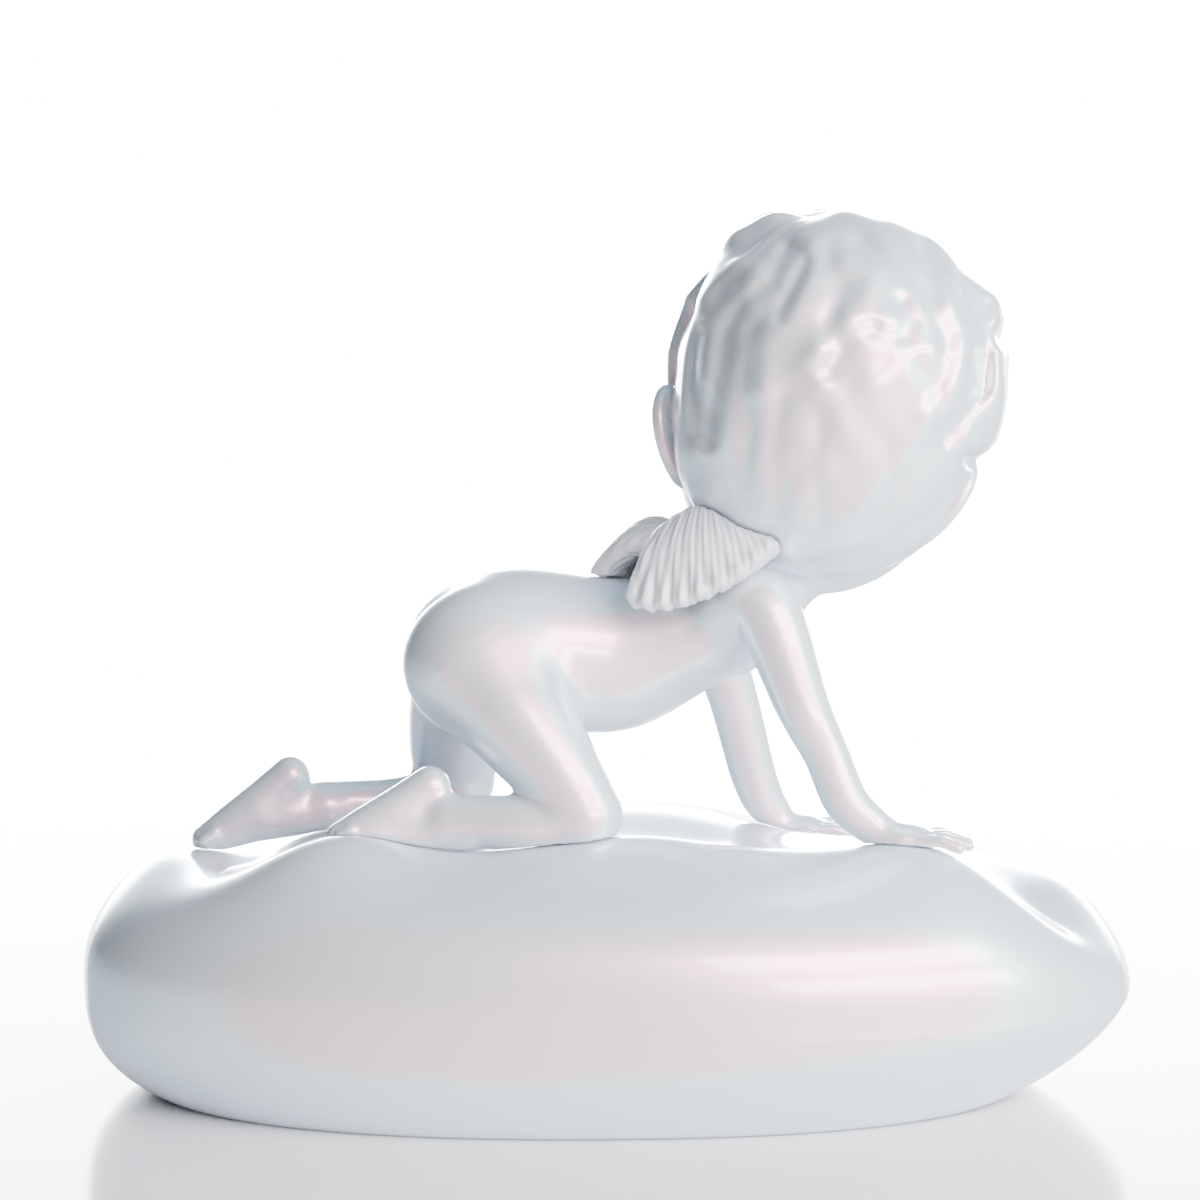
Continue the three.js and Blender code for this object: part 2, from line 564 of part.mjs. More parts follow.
// The ends of edges that have more than two faces.
function sharedTwice(tris) {
  const seen = new Set();
  const out = new Set();
  for (const t of tris) {
    for (let i = 0; i < 3; i++) {
      const [a, b] = [t[i], t[(i + 1) % 3]];
      const edge = a * 4194304 + b;
      if (seen.has(edge)) {
        out.add(a);
        out.add(b);
      }
      seen.add(edge);
    }
  }
  return out;
}

// Thinning: the edge whose loss changes the surface least is folded into one vertex, again and again.
// The change is the sum of squared distances to the planes of the faces round it.
function thin({ verts, tris }, wanted) {
  const V = verts.map((v) => [...v]);
  const T = tris.map((t) => [...t]);
  const live = new Uint8Array(T.length).fill(1);
  const stamp = new Int32Array(V.length);
  const faces = V.map(() => new Set());
  T.forEach((t, i) => t.forEach((v) => faces[v].add(i)));
  const normal = (a, b, c) => {
    const u = [b[0] - a[0], b[1] - a[1], b[2] - a[2]];
    const w = [c[0] - a[0], c[1] - a[1], c[2] - a[2]];
    return [u[1] * w[2] - u[2] * w[1], u[2] * w[0] - u[0] * w[2], u[0] * w[1] - u[1] * w[0]];
  };
  const Q = V.map(() => new Float64Array(10));
  for (const t of T) {
    const n = normal(V[t[0]], V[t[1]], V[t[2]]);
    const size = Math.hypot(...n) + 1e-12;
    const [a, b, c] = n.map((v) => v / size);
    const d = -(a * V[t[0]][0] + b * V[t[0]][1] + c * V[t[0]][2]);
    const row = [a * a, a * b, a * c, a * d, b * b, b * c, b * d, c * c, c * d, d * d];
    for (const v of t) for (let i = 0; i < 10; i++) Q[v][i] += row[i] * size;
  }
  const heap = [];
  const push = (e) => {
    heap.push(e);
    let i = heap.length - 1;
    while (i > 0) {
      const up = (i - 1) >> 1;
      if (heap[up].cost <= e.cost) break;
      heap[i] = heap[up];
      i = up;
    }
    heap[i] = e;
  };
  const pop = () => {
    const top = heap[0];
    const last = heap.pop();
    if (heap.length) {
      let i = 0;
      while (true) {
        let c = 2 * i + 1;
        if (c >= heap.length) break;
        if (c + 1 < heap.length && heap[c + 1].cost < heap[c].cost) c++;
        if (heap[c].cost >= last.cost) break;
        heap[i] = heap[c];
        i = c;
      }
      heap[i] = last;
    }
    return top;
  };
  const around = (v) => {
    const out = new Set();
    for (const f of faces[v]) for (const w of T[f]) if (w !== v) out.add(w);
    return out;
  };
  const consider = (a, b) => {
    const q = Q[a].map((v, i) => v + Q[b][i]);
    const mid = V[a].map((v, i) => (v + V[b][i]) / 2);
    // the best place, drawn a little towards the middle of the edge
    const w = 1e-3 * (q[0] + q[4] + q[7]);
    const [xx, xy, xz, yy, yz, zz] = [q[0] + w, q[1], q[2], q[4] + w, q[5], q[7] + w];
    const [bx, by, bz] = [w * mid[0] - q[3], w * mid[1] - q[6], w * mid[2] - q[8]];
    const det = xx * (yy * zz - yz * yz) - xy * (xy * zz - yz * xz) + xz * (xy * yz - yy * xz);
    let p = mid;
    if (Math.abs(det) > 1e-12) {
      p = [
        (bx * (yy * zz - yz * yz) - xy * (by * zz - yz * bz) + xz * (by * yz - yy * bz)) / det,
        (xx * (by * zz - yz * bz) - bx * (xy * zz - yz * xz) + xz * (xy * bz - by * xz)) / det,
        (xx * (yy * bz - yz * by) - xy * (xy * bz - xz * by) + bx * (xy * yz - yy * xz)) / det,
      ];
      const span = Math.hypot(V[a][0] - V[b][0], V[a][1] - V[b][1], V[a][2] - V[b][2]);
      if (Math.hypot(p[0] - mid[0], p[1] - mid[1], p[2] - mid[2]) > span) p = mid;
    }
    const [x, y, z] = p;
    const cost = q[0] * x * x + 2 * q[1] * x * y + 2 * q[2] * x * z + 2 * q[3] * x + q[4] * y * y
      + 2 * q[5] * y * z + 2 * q[6] * y + q[7] * z * z + 2 * q[8] * z + q[9];
    push({ cost: cost + 1e-6, a, b, p, sa: stamp[a], sb: stamp[b] });
  };
  for (let v = 0; v < V.length; v++) for (const w of around(v)) if (v < w) consider(v, w);
  let count = T.length;
  while (count > wanted && heap.length) {
    const { a, b, p, sa, sb } = pop();
    if (stamp[a] !== sa || stamp[b] !== sb) continue;
    const na = around(a);
    const shared = [...around(b)].filter((v) => na.has(v));
    if (shared.length !== 2) continue;
    let good = true;
    for (const [v, other] of [[a, b], [b, a]]) {
      for (const f of faces[v]) {
        if (T[f].includes(other)) continue;
        const old = T[f].map((w) => V[w]);
        const moved = T[f].map((w) => (w === v ? p : V[w]));
        const n0 = normal(...old);
        const n1 = normal(...moved);
        const sides = [0, 1, 2].map((i) => Math.hypot(...moved[i].map((c, k) => c - moved[(i + 1) % 3][k])));
        const long = Math.max(...sides);
        const area = Math.hypot(...n1);
        const dot = n0[0] * n1[0] + n0[1] * n1[1] + n0[2] * n1[2];
        if (dot < 0.35 * Math.hypot(...n0) * area || area < 0.12 * long * long) {
          good = false;
          break;
        }
      }
      if (!good) break;
    }
    if (!good) continue;
    V[a] = p;
    for (let i = 0; i < 10; i++) Q[a][i] += Q[b][i];
    for (const f of [...faces[b]]) {
      if (T[f].includes(a)) {
        live[f] = 0;
        count--;
        for (const w of T[f]) faces[w].delete(f);
      } else {
        T[f][T[f].indexOf(b)] = a;
        faces[a].add(f);
      }
    }
    faces[b].clear();
    stamp[b] = -1;
    stamp[a]++;
    for (const w of around(a)) consider(a, w);
  }
  const used = new Map();
  const outV = [];
  const outT = [];
  T.forEach((t, i) => {
    if (!live[i]) return;
    outT.push(t.map((v) => {
      if (!used.has(v)) {
        used.set(v, outV.length);
        outV.push(V[v]);
      }
      return used.get(v);
    }));
  });
  return { verts: outV, tris: outT };
}

// Solids
// The largest connected body, so that no crumb is left beside it.
function largest({ verts, tris }) {
  const parent = verts.map((_, i) => i);
  const find = (v) => {
    while (parent[v] !== v) {
      parent[v] = parent[parent[v]];
      v = parent[v];
    }
    return v;
  };
  for (const [a, b, c] of tris) {
    parent[find(a)] = find(b);
    parent[find(b)] = find(c);
  }
  const size = new Map();
  for (const [a] of tris) size.set(find(a), (size.get(find(a)) ?? 0) + 1);
  const keep = [...size].sort((a, b) => b[1] - a[1])[0][0];
  return { verts, tris: tris.filter(([a]) => find(a) === keep) };
}

function geometry({ verts, tris }) {
  const g = new THREE.BufferGeometry();
  const places = tris.flatMap((t) => t.flatMap((v) => verts[v]));
  g.setAttribute('position', new THREE.Float32BufferAttribute(places, 3));
  g.computeVertexNormals();
  return g;
}

const AROUND = 56;
const baseFaces = makeBase(AROUND);

// The height of the base's faceted top, which the figure rests on.
const sectors = Array.from({ length: AROUND }, () => []);
for (const t of baseFaces.tris) {
  const [a, b, c] = t.map((v) => baseFaces.verts[v]);
  const size = (b[0] - a[0]) * (c[1] - a[1]) - (c[0] - a[0]) * (b[1] - a[1]);
  if (size < 1e-6) continue;
  const middle = Math.atan2(a[1] + b[1] + c[1], a[0] + b[0] + c[0]);
  sectors[Math.floor((middle / (2 * Math.PI) + 1) * AROUND) % AROUND].push({ a, b, c, size });
}

function facetTop(x, y) {
  const sector = Math.floor((Math.atan2(y, x) / (2 * Math.PI) + 1) * AROUND) % AROUND;
  for (const { a, b, c, size } of sectors[sector]) {
    const v = ((x - a[0]) * (c[1] - a[1]) - (c[0] - a[0]) * (y - a[1])) / size;
    const w = ((b[0] - a[0]) * (y - a[1]) - (x - a[0]) * (b[1] - a[1])) / size;
    if (v > -1e-6 && w > -1e-6 && v + w < 1 + 1e-6) return a[2] + v * (b[2] - a[2]) + w * (c[2] - a[2]);
  }
  return 0;
}

function restingAt(p) {
  const d = figureAt(p);
  if (p[2] > 90 || d > 8) return d;
  return smax(d, facetTop(p[0], p[1]) + GAP - p[2], 0.5);
}

const HEAD_REACH = 58;        // a ball of this radius round HEAD_AT holds the head
const figureTop = HEAD_AT.map((v, i) => Math.max(v + HEAD_REACH, [116, 66, 0][i]));
const wingBox = (at, low, high) => [low, high].map((to) => to.map((v, i) => at[i] + v));
const figureFaces = thin(largest(surfaceNet(restingAt, [-122, -60, 54], figureTop, NET_STEP)), FIGURE_FACES);
const rightWing = thin(surfaceNet((p) => wingAt(p, -1),
  ...wingBox(RIGHT_WING_AT, [-33, -39, -17], [27, 5, 29]), WING_STEP), WING_FACES);
const leftWing = thin(surfaceNet((p) => wingAt(p, 1),
  ...wingBox(LEFT_WING_AT, [-47, -7, -17], [13, 39, 29]), WING_STEP), WING_FACES);

const lacquer = new THREE.MeshStandardMaterial({ color: 0xe9e8ec, roughness: 0.25, metalness: 0 });
const wingWhite = new THREE.MeshStandardMaterial({ color: 0xe4e3e6, roughness: 0.5, metalness: 0 });

const cherub = new THREE.Group();
for (const [name, data, material] of [
  ['cloud_base', baseFaces, lacquer],
  ['cherub_figure', figureFaces, lacquer],
  ['right_wing', rightWing, wingWhite],
  ['left_wing', leftWing, wingWhite],
]) {
  const mesh = new THREE.Mesh(geometry(data), material);
  mesh.name = name;
  cherub.add(mesh);
}

export default cherub;
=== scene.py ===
"""A cherub crawling over a cloud-shaped base, a pearl-lacquered resin casting with two small wings.

Lengths are in millimetres until a mesh is made. The origin is the middle of the flat underside, +X runs
along the base towards the hands, and -Y is the side of the figure's right hand.
"""

import math

import bpy
import numpy as np
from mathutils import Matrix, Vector


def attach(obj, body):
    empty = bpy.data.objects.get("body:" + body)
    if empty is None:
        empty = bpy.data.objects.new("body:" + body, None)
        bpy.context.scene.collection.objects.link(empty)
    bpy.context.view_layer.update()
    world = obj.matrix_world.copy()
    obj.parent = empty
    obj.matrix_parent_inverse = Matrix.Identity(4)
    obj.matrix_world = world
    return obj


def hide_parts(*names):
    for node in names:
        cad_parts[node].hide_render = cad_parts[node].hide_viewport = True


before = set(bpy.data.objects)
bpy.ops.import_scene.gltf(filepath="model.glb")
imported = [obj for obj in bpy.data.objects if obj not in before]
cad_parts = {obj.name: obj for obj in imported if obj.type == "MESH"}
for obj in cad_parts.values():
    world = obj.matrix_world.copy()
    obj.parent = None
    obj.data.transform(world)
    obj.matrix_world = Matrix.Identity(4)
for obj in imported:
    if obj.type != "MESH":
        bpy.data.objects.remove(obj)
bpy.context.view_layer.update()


# Cloud base: a hollow resin casting in the shape of a flat soft cloud, about 283 by 160 mm.
# It stands on its own flat underside and carries the figure, which is cemented to its top.
# The plan is a superellipse, the top is a shallow dome with swells and hollows, the side is rolled.

HALF_LENGTH = 141.5
HALF_WIDTH = 80.0
PLAN_POWER = 2.25  # 2 is an ellipse, higher is squarer
GIRTH = 29.5  # height of the widest line at the middle
GIRTH_FALL = 0.014  # the girth is lower at the hands' end, per mm of x
UNDERCUT = 44.0  # depth of the rolled underside before the floor cuts it
BASE_AROUND = 360
BASE_SIDE_RINGS = 44
BASE_TOP_RINGS = 96
FOOT_RINGS = (0.25, 0.5, 0.75, 1)  # shares of the flat underside's radius
MILLIMETRE = 0.001
FLAKE_SHARE = 0.46  # of the lacquer's surface


def swell(x, y, cx, cy, long, wide, turned=0.0):
    """a soft hump of height 1 at (cx, cy): e to the minus squared distance, measured in its half-widths"""
    c, s = math.cos(math.radians(turned)), math.sin(math.radians(turned))
    u = c * (x - cx) + s * (y - cy)
    v = c * (y - cy) - s * (x - cx)
    return np.exp(-((u / long) ** 2) - (v / wide) ** 2)


def crown(x, y):
    """height of the cloud's top before its rim is rolled: a shallow dome plus swells, less hollows"""
    height = 66.5 - 0.0003 * x * x - 0.0045 * np.maximum(x - 90, 0) ** 2
    height = height + 11.0 * swell(x, y, -72, -40, 26, 18)  # near ridge, in front of the right foot
    height = height + 3.5 * swell(x, y, -20, -40, 22, 16)  # under the right shin
    height = height + 6.0 * swell(x, y, 8, -36, 22, 16)  # under the right knee
    height = height + 4.5 * swell(x, y, 40, -40, 26, 18)  # near lip of the dish
    height = height + 9.0 * swell(x, y, 84, -36, 24, 18)  # under the right hand
    height = height + 3.0 * swell(x, y, 8, 32, 45, 26)  # far rim
    height = height - 6.5 * swell(x, y, 62, 42, 26, 20)  # slope under the left hand
    height = height - 1.0 * swell(x, y, 30, -8, 18, 20)  # dish below the belly
    height = height - 4.5 * swell(x, y, -98, 10, 14, 26)  # trough at the left foot's toes
    height = height + 6.0 * swell(x, y, -127, 14, 16, 30)  # lip of the feet's end
    height = height - 5.0 * swell(x, y, 108, 2, 13, 32, -14)  # scoop in the hands' end
    height = height - 6.0 * swell(x, y, 118, -22, 13, 14)  # notch where the scoop opens to the front
    return height + 6.5 * swell(x, y, 129, 18, 19, 26)  # lip behind the scoop


def fullness(rim_x):
    """power of the underside's curve: full at the feet's end, and drawn in at the hands' end"""
    return 0.55 + 0.0014 * rim_x - 0.000002 * rim_x**2


def plan_radius(c, s):
    """distance from the middle to the superellipse's edge in the direction (c, s)"""
    total = np.abs(c / HALF_LENGTH) ** PLAN_POWER + np.abs(s / HALF_WIDTH) ** PLAN_POWER
    return np.maximum(total, 1e-12) ** (-1 / PLAN_POWER)


def top_at(x, y):
    """height of the rolled top: girth + (crown - girth) (1 - s^6)^0.4, where s is the share of the radius"""
    r = np.maximum(np.hypot(x, y), 1e-6)
    share = np.minimum(r / plan_radius(x / r, y / r), 1)
    girth = GIRTH - GIRTH_FALL * x
    return girth + (crown(x, y) - girth) * (1 - share**6) ** 0.4


def polar_grid(rings):
    """closed mesh from rings of equal length, first to last, with a fan to a middle point at each end"""
    around = len(rings[0])
    verts = np.vstack([rings[0].mean(0)[None], *rings, rings[-1].mean(0)[None]])
    i = np.arange(around)
    j = (i + 1) % around
    ring = 1 + around * np.arange(len(rings) - 1)[:, None]
    quads = np.stack([ring + i, ring + j, ring + around + j, ring + around + i], -1).reshape(-1, 4)
    last = 1 + around * (len(rings) - 1)
    start = np.stack([0 * i, 1 + j, 1 + i], -1)
    end = np.stack([last + i, last + j, 0 * i + len(verts) - 1], -1)
    return verts, quads.tolist() + start.tolist() + end.tolist()


def base_rings():
    """rings of the base from the foot's edge, out round the girth and in over the top to the middle"""
    angle = np.linspace(0, 2 * math.pi, BASE_AROUND, endpoint=False)
    c, s = np.cos(angle), np.sin(angle)
    edge = plan_radius(c, s)
    foot = np.full(BASE_AROUND, 0.8)
    for _ in range(30):
        girth = GIRTH - GIRTH_FALL * foot * edge * c
        foot = (1 - np.minimum(girth / UNDERCUT, 1) ** (1 / fullness(edge * c))) ** (1 / 3)
    rings = [np.stack([foot * edge * c * w, foot * edge * s * w, 0 * c], -1) for w in FOOT_RINGS]
    for w in np.linspace(1, 0, BASE_SIDE_RINGS + 1)[1:]:
        drop = w * (GIRTH - GIRTH_FALL * foot * edge * c) / UNDERCUT
        share = (1 - drop ** (1 / fullness(edge * c))) ** (1 / 3)
        x, y = share * edge * c, share * edge * s
        rings.append(np.stack([x, y, GIRTH - GIRTH_FALL * x - UNDERCUT * drop], -1))
    rise = np.linspace(0, 0.96, BASE_TOP_RINGS // 2 + 1)[1:]
    outer = (1 - rise**2.5) ** (1 / 6)
    inner = np.linspace(outer[-1], 0.004, BASE_TOP_RINGS // 2 + 1)[1:]
    for share in np.concatenate([outer, inner]):
        x, y = share * edge * c, share * edge * s
        rings.append(np.stack([x, y, top_at(x, y)], -1))
    return rings


def make_piece(name, verts, faces, slot):
    """a smooth mesh object from millimetres, standing for the CAD node of that name"""
    mesh = bpy.data.meshes.new(name)
    mesh.from_pydata((np.asarray(verts) * MILLIMETRE).tolist(), [], faces)
    mesh.shade_smooth()
    piece = bpy.data.objects.new(name + "_skin", mesh)
    bpy.context.scene.collection.objects.link(piece)
    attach(piece, "root")
    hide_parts(name)
    return piece


def linear(code):
    """linear colour from an sRGB hex code: each channel by the sRGB curve"""
    share = np.array([int(code[i : i + 2], 16) for i in (1, 3, 5)]) / 255
    value = np.where(share <= 0.04045, share / 12.92, ((share + 0.055) / 1.055) ** 2.4)
    return (*value.tolist(), 1.0)


def add(tree, kind, sockets=None, **settings):
    """adds a node: settings are its own fields, sockets takes values to type in and outputs to link"""
    node = tree.nodes.new(kind)
    for name, value in settings.items():
        setattr(node, name, value)
    for name, value in (sockets or {}).items():
        if isinstance(value, bpy.types.NodeSocket):
            tree.links.new(value, node.inputs[name])
        else:
            node.inputs[name].default_value = value
    return node


# Pearl lacquer: white enamel with pearl flakes in it, under a clear gloss coat with a faint orange-peel.
# The flakes are a soft metal gloss that is pink where it faces the eye and ice-blue as it leans away,
# with a thin film on each flake whose thickness drifts by some nanometres, as a sprayed coat's does.
pearl = bpy.data.materials.new("pearl_lacquer")
pearl.use_nodes = True
tree = pearl.node_tree
tree.nodes.clear()
where = add(tree, "ShaderNodeTexCoord").outputs["Object"]
peel = add(tree, "ShaderNodeTexNoise", {"Vector": where, "Scale": 1000 / 1.6, "Detail": 1.0})
skin = add(tree, "ShaderNodeBump", {"Height": peel.outputs["Fac"], "Strength": 0.2, "Distance": 0.00003})
cloudy = add(tree, "ShaderNodeTexNoise", {"Vector": where, "Scale": 1000 / 90, "Detail": 3.0})
white = add(tree, "ShaderNodeValToRGB", {"Fac": cloudy.outputs["Fac"]})
white.color_ramp.elements[0].position = 0.3
white.color_ramp.elements[0].color = linear("#E6EAEF")
white.color_ramp.elements[1].position = 0.7
white.color_ramp.elements[1].color = linear("#ECEEF1")
enamel = add(
    tree,
    "ShaderNodeBsdfPrincipled",
    {
        "Base Color": white.outputs["Color"],
        "Roughness": 0.5,
        "Coat Weight": 1.0,
        "Coat Roughness": 0.07,
        "Coat Normal": skin.outputs["Normal"],
    },
)
facing = add(tree, "ShaderNodeLayerWeight", {"Blend": 0.5}).outputs["Facing"]
hue = add(tree, "ShaderNodeValToRGB", {"Fac": facing})
hue.color_ramp.elements[0].position = 0.13
hue.color_ramp.elements[0].color = linear("#FFACC0")
hue.color_ramp.elements[1].position = 0.5
hue.color_ramp.elements[1].color = linear("#B4DCF4")
hue.color_ramp.elements.new(0.19).color = linear("#D6F0EC")
drift = add(tree, "ShaderNodeTexNoise", {"Vector": where, "Scale": 1000 / 60, "Detail": 2.0})
film = add(
    tree,
    "ShaderNodeMapRange",
    {"Value": drift.outputs["Fac"], "From Min": 0.3, "From Max": 0.7, "To Min": 348.0, "To Max": 364.0},
)
sparkle = add(tree, "ShaderNodeTexNoise", {"Vector": where, "Scale": 1000 / 0.5, "Detail": 0.0})
grain = add(
    tree,
    "ShaderNodeMapRange",
    {"Value": sparkle.outputs["Fac"], "From Min": 0.3, "From Max": 0.7, "To Min": 0.31, "To Max": 0.37},
)
flakes = add(
    tree,
    "ShaderNodeBsdfPrincipled",
    {
        "Base Color": hue.outputs["Color"],
        "Metallic": 1.0,
        "Roughness": grain.outputs["Result"],
        "Thin Film Thickness": film.outputs["Result"],
        "Thin Film IOR": 2.2,
        "Coat Weight": 1.0,
        "Coat Roughness": 0.07,
        "Coat Normal": skin.outputs["Normal"],
    },
)
lacquer = add(
    tree,
    "ShaderNodeMixShader",
    {0: FLAKE_SHARE, 1: enamel.outputs["BSDF"], 2: flakes.outputs["BSDF"]},
)
add(tree, "ShaderNodeOutputMaterial", {"Surface": lacquer.outputs["Shader"]})

base = make_piece("cloud_base", *polar_grid(base_rings()), "pearl_lacquer")
base.data.materials.append(pearl)


# Cherub figure: a second hollow resin casting, cemented to the base at the hands, knees and feet, and
# sprayed with the same lacquer. It crawls towards +X with its large head raised. It is modelled as a
# distance field of ellipsoids and tapered bars with fillets, and its surface is taken from that field.

HEAD_AT = (59.5, 7.0, 184.0)
HEAD_TURN = (-3.0, 3.0, 13.0)  # yaw, pitch and roll in degrees
HEAD_REACH = 62  # a ball of this radius holds the head
HAND_REACH = 26
GAP = 0.3  # air between the castings
LOOK_DOWN = math.radians(7.5)  # the hair's drawing plane leans by this much
DRAWING_UP = 182.4  # the head's centre, measured up that plane
NET_STEP = 1.0
FAR = 16.0  # beyond this the field needs no detail


def smin(a, b, k):
    """the smaller of two distances, with a fillet about k wide where they are alike"""
    h = np.maximum(k - np.abs(a - b), 0) / k
    return np.minimum(a, b) - h * h * k / 4


def smax(a, b, k):
    """the larger of two distances, with a rounded edge about k wide"""
    return -smin(-a, -b, k)


def ramp(a, b, v):
    """0 before a, 1 past b, and a smooth cubic between them"""
    t = np.clip((v - a) / (b - a), 0, 1)
    return t * t * (3 - 2 * t)


def axes(yaw=0.0, pitch=0.0, roll=0.0):
    """the three axes, as columns, of a frame turned about Z, then about its x, then about its y"""
    a, b, c = np.radians([yaw, pitch, roll])
    z = [[math.cos(a), -math.sin(a), 0], [math.sin(a), math.cos(a), 0], [0, 0, 1]]
    x = [[1, 0, 0], [0, math.cos(b), -math.sin(b)], [0, math.sin(b), math.cos(b)]]
    y = [[math.cos(c), 0, math.sin(c)], [0, 1, 0], [-math.sin(c), 0, math.cos(c)]]
    return np.array(z) @ np.array(x) @ np.array(y)


def size(v):
    """length of each row"""
    return np.sqrt(np.einsum("ij,ij->i", v, v))


def ellipsoid(p, centre, radii):
    """close distance to an ellipsoid: with q = p / radii, |q| (|q| - 1) / |q / radii|"""
    q = (p - np.asarray(centre, float)) / np.asarray(radii, float)
    k0 = size(q) + 1e-9
    k1 = size(q / np.asarray(radii, float)) + 1e-9
    return k0 * (k0 - 1) / k1


def near(p, centre, reach, inside):
    """the distance to a ball where that is over FAR, and the detailed distance inside elsewhere"""
    out = size(p - np.asarray(centre, float)) - reach
    close = out < FAR
    if close.any():
        out[close] = inside(p[close])
    return out


def smooth_path(points, radii, n=5):
    """points of a Catmull-Rom curve, with the radius carried along as a fourth number"""
    q = np.column_stack([points, radii]).astype(float)
    q = np.vstack([2 * q[0] - q[1], q, 2 * q[-1] - q[-2]])
    t = np.linspace(0, 1, n, endpoint=False)[:, None]
    parts = []
    for a, b, c, d in zip(q[:-3], q[1:-2], q[2:-1], q[3:]):
        cubic = 2 * b + (c - a) * t + (2 * a - 5 * b + 4 * c - d) * t**2 + (3 * b - a - 3 * c + d) * t**3
        parts.append(cubic / 2)
    out = np.vstack([*parts, q[-2]])
    return out[:, :3], out[:, 3]


def bar(p, points, radii):
    """distance to a round bar: the nearest of its tapered lengths, less the radius there"""
    points = np.asarray(points, float)
    middle = (points.min(0) + points.max(0)) / 2
    reach = np.linalg.norm(points.max(0) - points.min(0)) / 2 + max(radii)

    def inside(q):
        best = np.full(len(q), 1e9)
        for a, b, ra, rb in zip(points[:-1], points[1:], radii[:-1], radii[1:]):
            run = b - a
            t = np.clip((q - a) @ run / (run @ run), 0, 1)
            best = np.minimum(best, size(q - a - t[:, None] * run) - ra - (rb - ra) * t)
        return best

    return near(p, middle, reach, inside)


def tube(p, points, radii, n=12):
    """distance to a round bar along a smooth curve through the points"""
    return bar(p, *smooth_path(points, radii, n))


# The back of the hair as it is seen from behind: each stroke is points across and up from the head's
# centre, a width and a depth. Grooves part the locks and ridges are their crests.
GROOVES = (
    (((-12, 40), (-17, 30), (-24, 26), (-28, 18), (-31, 3), (-33, -10)), 2.6, 1.7),
    (((-8, 36), (-13, 26), (-15, 21)), 2.0, 1.2),
    (((24, 41.5), (33, 30), (38.5, 17), (38.5, 5), (33, -3), (28, -10)), 2.4, 1.4),
    (((40.5, 26), (40.5, 13), (39, 2.5), (31, -8)), 2.0, 1.2),
    (((7, 41.5), (15.5, 36), (24.5, 26), (28, 14), (26, 2), (28, -10)), 2.6, 1.0),
    (((-22, 18), (-24, 5), (-22, -8), (-24, -21)), 2.6, 0.9),
    (((-35, 18), (-37.5, 5), (-36, -8)), 2.0, 1.0),
    (((-14.5, 0), (-16.5, -13), (-14.5, -26), (-15.5, -36)), 2.6, 0.7),
    (((-4.5, -5), (-6, -18), (-3.5, -31)), 2.6, 0.7),
    (((17, 25), (19, 20), (16.5, 17)), 2.6, 1.2),
    (((0.5, 28.5), (-2.5, 18), (0.5, 13), (-2.5, 7)), 2.8, 1.1),
    (((9, 18), (18, 14), (23, 4), (18, -5)), 3.0, 0.9),
    (((11.5, -10), (14.5, -21), (12.5, -31)), 3.0, 0.6),
    (((37.5, 37.5), (43, 33.5), (47, 32)), 3.4, 4.0),
    (((48, 19), (44.5, 17.5)), 2.6, 3.5),
    (((48, -11.5), (42.5, -14.5), (36.5, -15.5)), 2.2, 4.2),
)
RIDGES = (
    (((-26, 36), (-22, 34), (-24, 28)), 3.6, 1.6),
    (((-6, 41.5), (-6, 32.5), (-10.5, 23.5), (-18.5, 14), (-20, 2.5)), 3.6, 1.2),
    (((2.5, 36), (9.5, 33), (8, 26)), 3.4, 1.0),
    (((3.5, 21), (11.5, 21), (16.5, 12.5), (24.5, 12.5)), 3.4, 1.1),
    (((29, 32.5), (34, 18), (32.5, 7), (25.5, -5)), 3.2, 1.2),
    (((42.5, 27), (42.5, 18)), 3.4, 2.2),
    (((43.5, 12.5), (43.5, 1), (41.5, -7), (39.5, -11)), 3.6, 1.8),
    (((-6, 12.5), (-9.5, 7), (-6, 2)), 3.0, 1.0),
    (((-31, 37), (-34.5, 28.5)), 3.2, 1.4),
)


def stroke(across, up, points, width):
    """1 on a drawn line and falling off beside it as e to the minus squared distance over the width"""
    best = np.full(len(across), 1e9)
    for (ax, ay), (bx, by) in zip(points[:-1], points[1:]):
        dx, dy = bx - ax, by - ay
        t = np.clip(((across - ax) * dx + (up - ay) * dy) / (dx * dx + dy * dy), 0, 1)
        best = np.minimum(best, (across - ax - t * dx) ** 2 + (up - ay - t * dy) ** 2)
    return np.exp(-best / width**2)


def hair_relief(p, q):
    """how far the hair stands out: strokes behind, waved strands round the crown's axis, soft lumps"""
    across = p[:, 0] - HEAD_AT[0]
    up = p[:, 2] * math.cos(LOOK_DOWN) + p[:, 1] * math.sin(LOOK_DOWN) - DRAWING_UP
    behind = ramp(12, -8, q[:, 1])
    seen = behind > 0
    drawn = np.zeros(len(p))
    for points, width, depth in GROOVES:
        drawn[seen] -= depth * stroke(across[seen], up[seen], points, width)
    for points, width, depth in RIDGES:
        drawn[seen] += depth * stroke(across[seen], up[seen], points, width)
    c = q - np.array([0, -3, 6])
    around = np.arctan2(c[:, 0], -c[:, 1])
    down = np.arccos(np.clip(c[:, 2] / (size(c) + 1e-9), -1, 1))
    wave = 0.35 * np.sin(6.2 * down + 1.3 * np.sin(2 * around))
    strand = 0.55 * np.cos(15 * around + 5 * wave) + 0.28 * np.cos(26 * around + 7 * wave + 1)
    calm = (1 - 0.75 * behind * ramp(-20, -34, q[:, 2])) * (1 - 0.68 * behind)
    lumps = np.sin(q[:, 0] * 0.3 + 1.7 * np.sin(q[:, 2] * 0.13))
    lumps = lumps * np.sin(q[:, 2] * 0.21 + 1 + np.sin(q[:, 0] * 0.15)) * np.cos(q[:, 1] * 0.12)
    return 0.85 * drawn * behind + 0.8 * strand * ramp(0.25, 0.8, down) * calm + 0.7 * lumps


def mirrored(points, side):
    """the points with x turned to one side, -1 or 1"""
    return [(side * x, y, z) for x, y, z in points]


